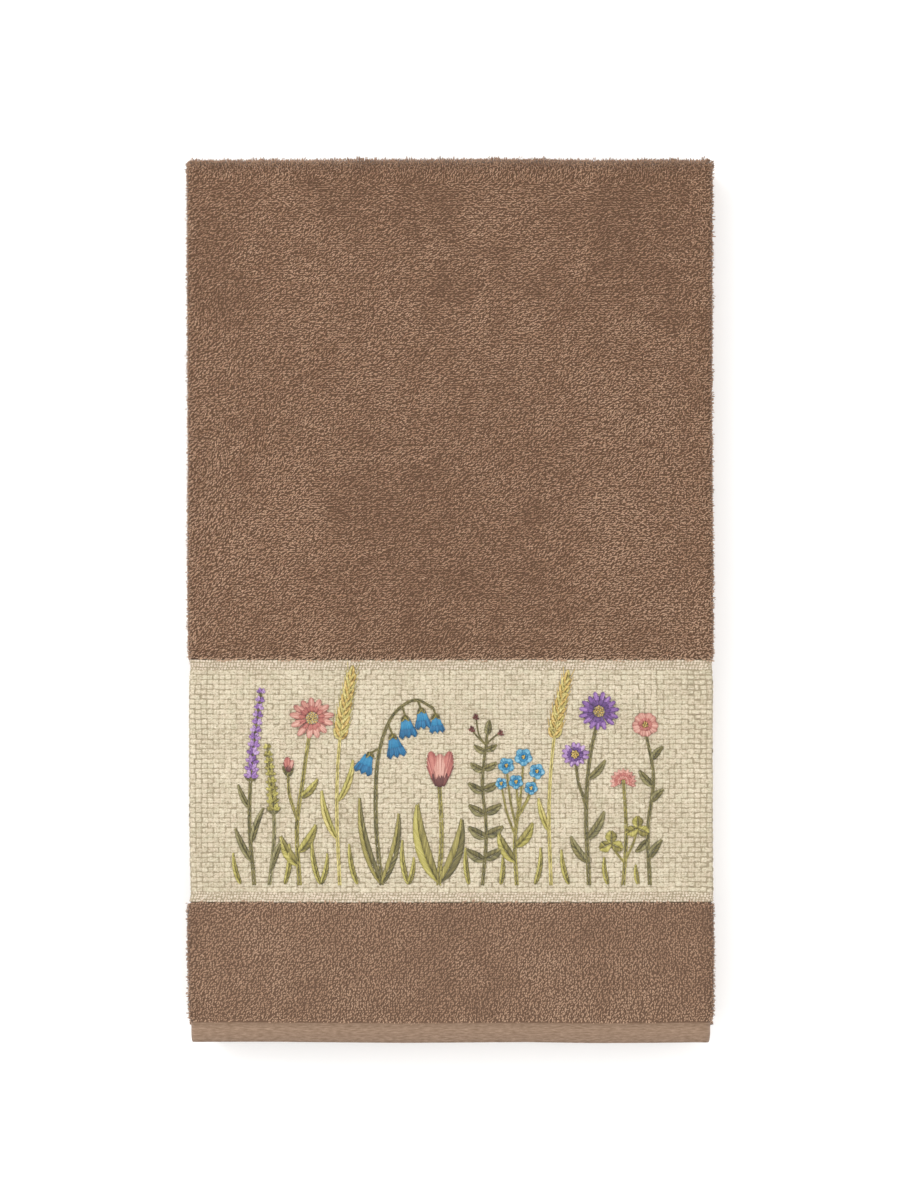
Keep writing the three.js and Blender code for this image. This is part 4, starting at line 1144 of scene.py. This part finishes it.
def make_stitches():
    design()
    made = []
    for colour, rows in stitched.items():
        p = np.array(rows)
        start, end = p[:, 0:2], p[:, 2:4]
        width, lift, tone, layer = p[:, 4], p[:, 5], p[:, 6], p[:, 7]
        length = np.linalg.norm(end - start, axis=1)
        # Evens out stitches that would be too short to see as a strand.
        grow = np.maximum(0, 0.55 - length)[:, None] * 0.5 * (end - start) / np.maximum(length, 1e-6)[:, None]
        start, end = start - grow, end + grow
        t = np.array([0.0, 0.30, 0.72, 1.0])
        line = start[:, None] + (end - start)[:, None] * t[:, None]
        centre = np.empty((len(p), 4, 3))
        centre[:, :, 0] = line[:, :, 0] + A2 + FOLD_AT
        centre[:, :, 1] = line[:, :, 1] + GROUND_LINE
        rise = np.array([0.0, 1.0, 1.0, 0.15])
        centre[:, :, 2] = (0.78 + layer)[:, None] + lift[:, None] * rise
        half = (width / 2)[:, None] * np.array([0.80, 1.05, 1.05, 0.80])
        drop = np.maximum(half * 0.8, 0)
        # Painted shade where each stitch goes into the cloth.
        dip = np.broadcast_to(np.array([1.0, 0.0, 0.0, 0.8]), (len(p), 4))
        made.append(strands("stitches_" + colour, centre, half, drop, tone, thread_material(colour, *THREADS[colour]), extra={"dip": dip}))
    return made


# ---- Camera, light, floor -----------------------------------------------------------------


def make_stage():
    scene = bpy.context.scene
    distance, frame_height = 3.0, 0.6302
    lens = bpy.data.cameras.new("camera")
    lens.sensor_fit = "AUTO"
    lens.sensor_width = 36.0
    lens.lens = 36.0 * distance / frame_height
    lens.clip_start, lens.clip_end = 0.05, 60.0
    camera = bpy.data.objects.new("camera", lens)
    camera.location = (-0.00034, 0.00005, 0.030 + distance)
    scene.collection.objects.link(camera)
    scene.camera = camera

    n = Nodes("floor_paper")
    coords = n.node("ShaderNodeTexCoord").outputs["Object"]
    grain = n.noise(coords, 900.0, 3.0)
    colour = n.ramp(grain, [(0.2, (0.92, 0.92, 0.915)), (0.8, (0.95, 0.95, 0.945))])
    n.finish(colour, 0.85, n.bump(grain, 0.00005, 0.3), specular=0.15)
    n.shader.inputs["Emission Color"].default_value = (1, 1, 1, 1)
    n.shader.inputs["Emission Strength"].default_value = 0.13
    floor_mesh = bpy.data.meshes.new("floor")
    size = 14.0
    floor_mesh.from_pydata([(-size, -size, -0.0004), (size, -size, -0.0004), (size, size, -0.0004), (-size, size, -0.0004)], [], [(0, 1, 2, 3)])
    floor_mesh.materials.append(n.material)
    floor = bpy.data.objects.new("floor", floor_mesh)
    scene.collection.objects.link(floor)

    world = bpy.data.worlds.new("studio")
    world.use_nodes = True
    world.node_tree.nodes["Background"].inputs["Color"].default_value = (1.0, 0.99, 0.98, 1)
    world.node_tree.nodes["Background"].inputs["Strength"].default_value = 0.91
    scene.world = world

    def lamp(name, place, aim, size, power):
        light = bpy.data.lights.new(name, "AREA")
        light.shape = "SQUARE"
        light.size = size
        light.energy = power
        made = bpy.data.objects.new(name, light)
        made.location = place
        way = np.array(aim, float) - np.array(place, float)
        from mathutils import Vector
        made.rotation_mode = "QUATERNION"
        made.rotation_quaternion = Vector(way).to_track_quat("-Z", "Y")
        scene.collection.objects.link(made)

    lamp("key", (-1.65, 1.5, 2.0), (0, 0, 0), 1.3, 52.0)
    lamp("fill", (1.4, -0.9, 2.4), (0, 0, 0), 2.2, 28.0)
    scene.view_settings.view_transform = "Standard"
    scene.view_settings.look = "None"
    scene.view_settings.exposure = 0.0


# ---- Everything together ------------------------------------------------------------------

make_stage()
terry = pile_material()
body = make_body(body_material())
loops = make_pile(terry)
band = make_band(band_cloth_material())
net = make_net(band_thread_material("band_thread", BAND_SHADE, BAND_THREAD, BAND_PALE))
edges = make_edge_weave(band_thread_material("band_edge_thread", EDGE_SHADE, EDGE_THREAD, EDGE_PALE))
stitches = make_stitches()

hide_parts("towel_body")
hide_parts("woven_band")

triangles = {o.name: 2 * len(o.data.polygons) for o in [body, *loops, band, net, edges, *stitches]}
print("triangles", triangles, "in all", sum(triangles.values()))
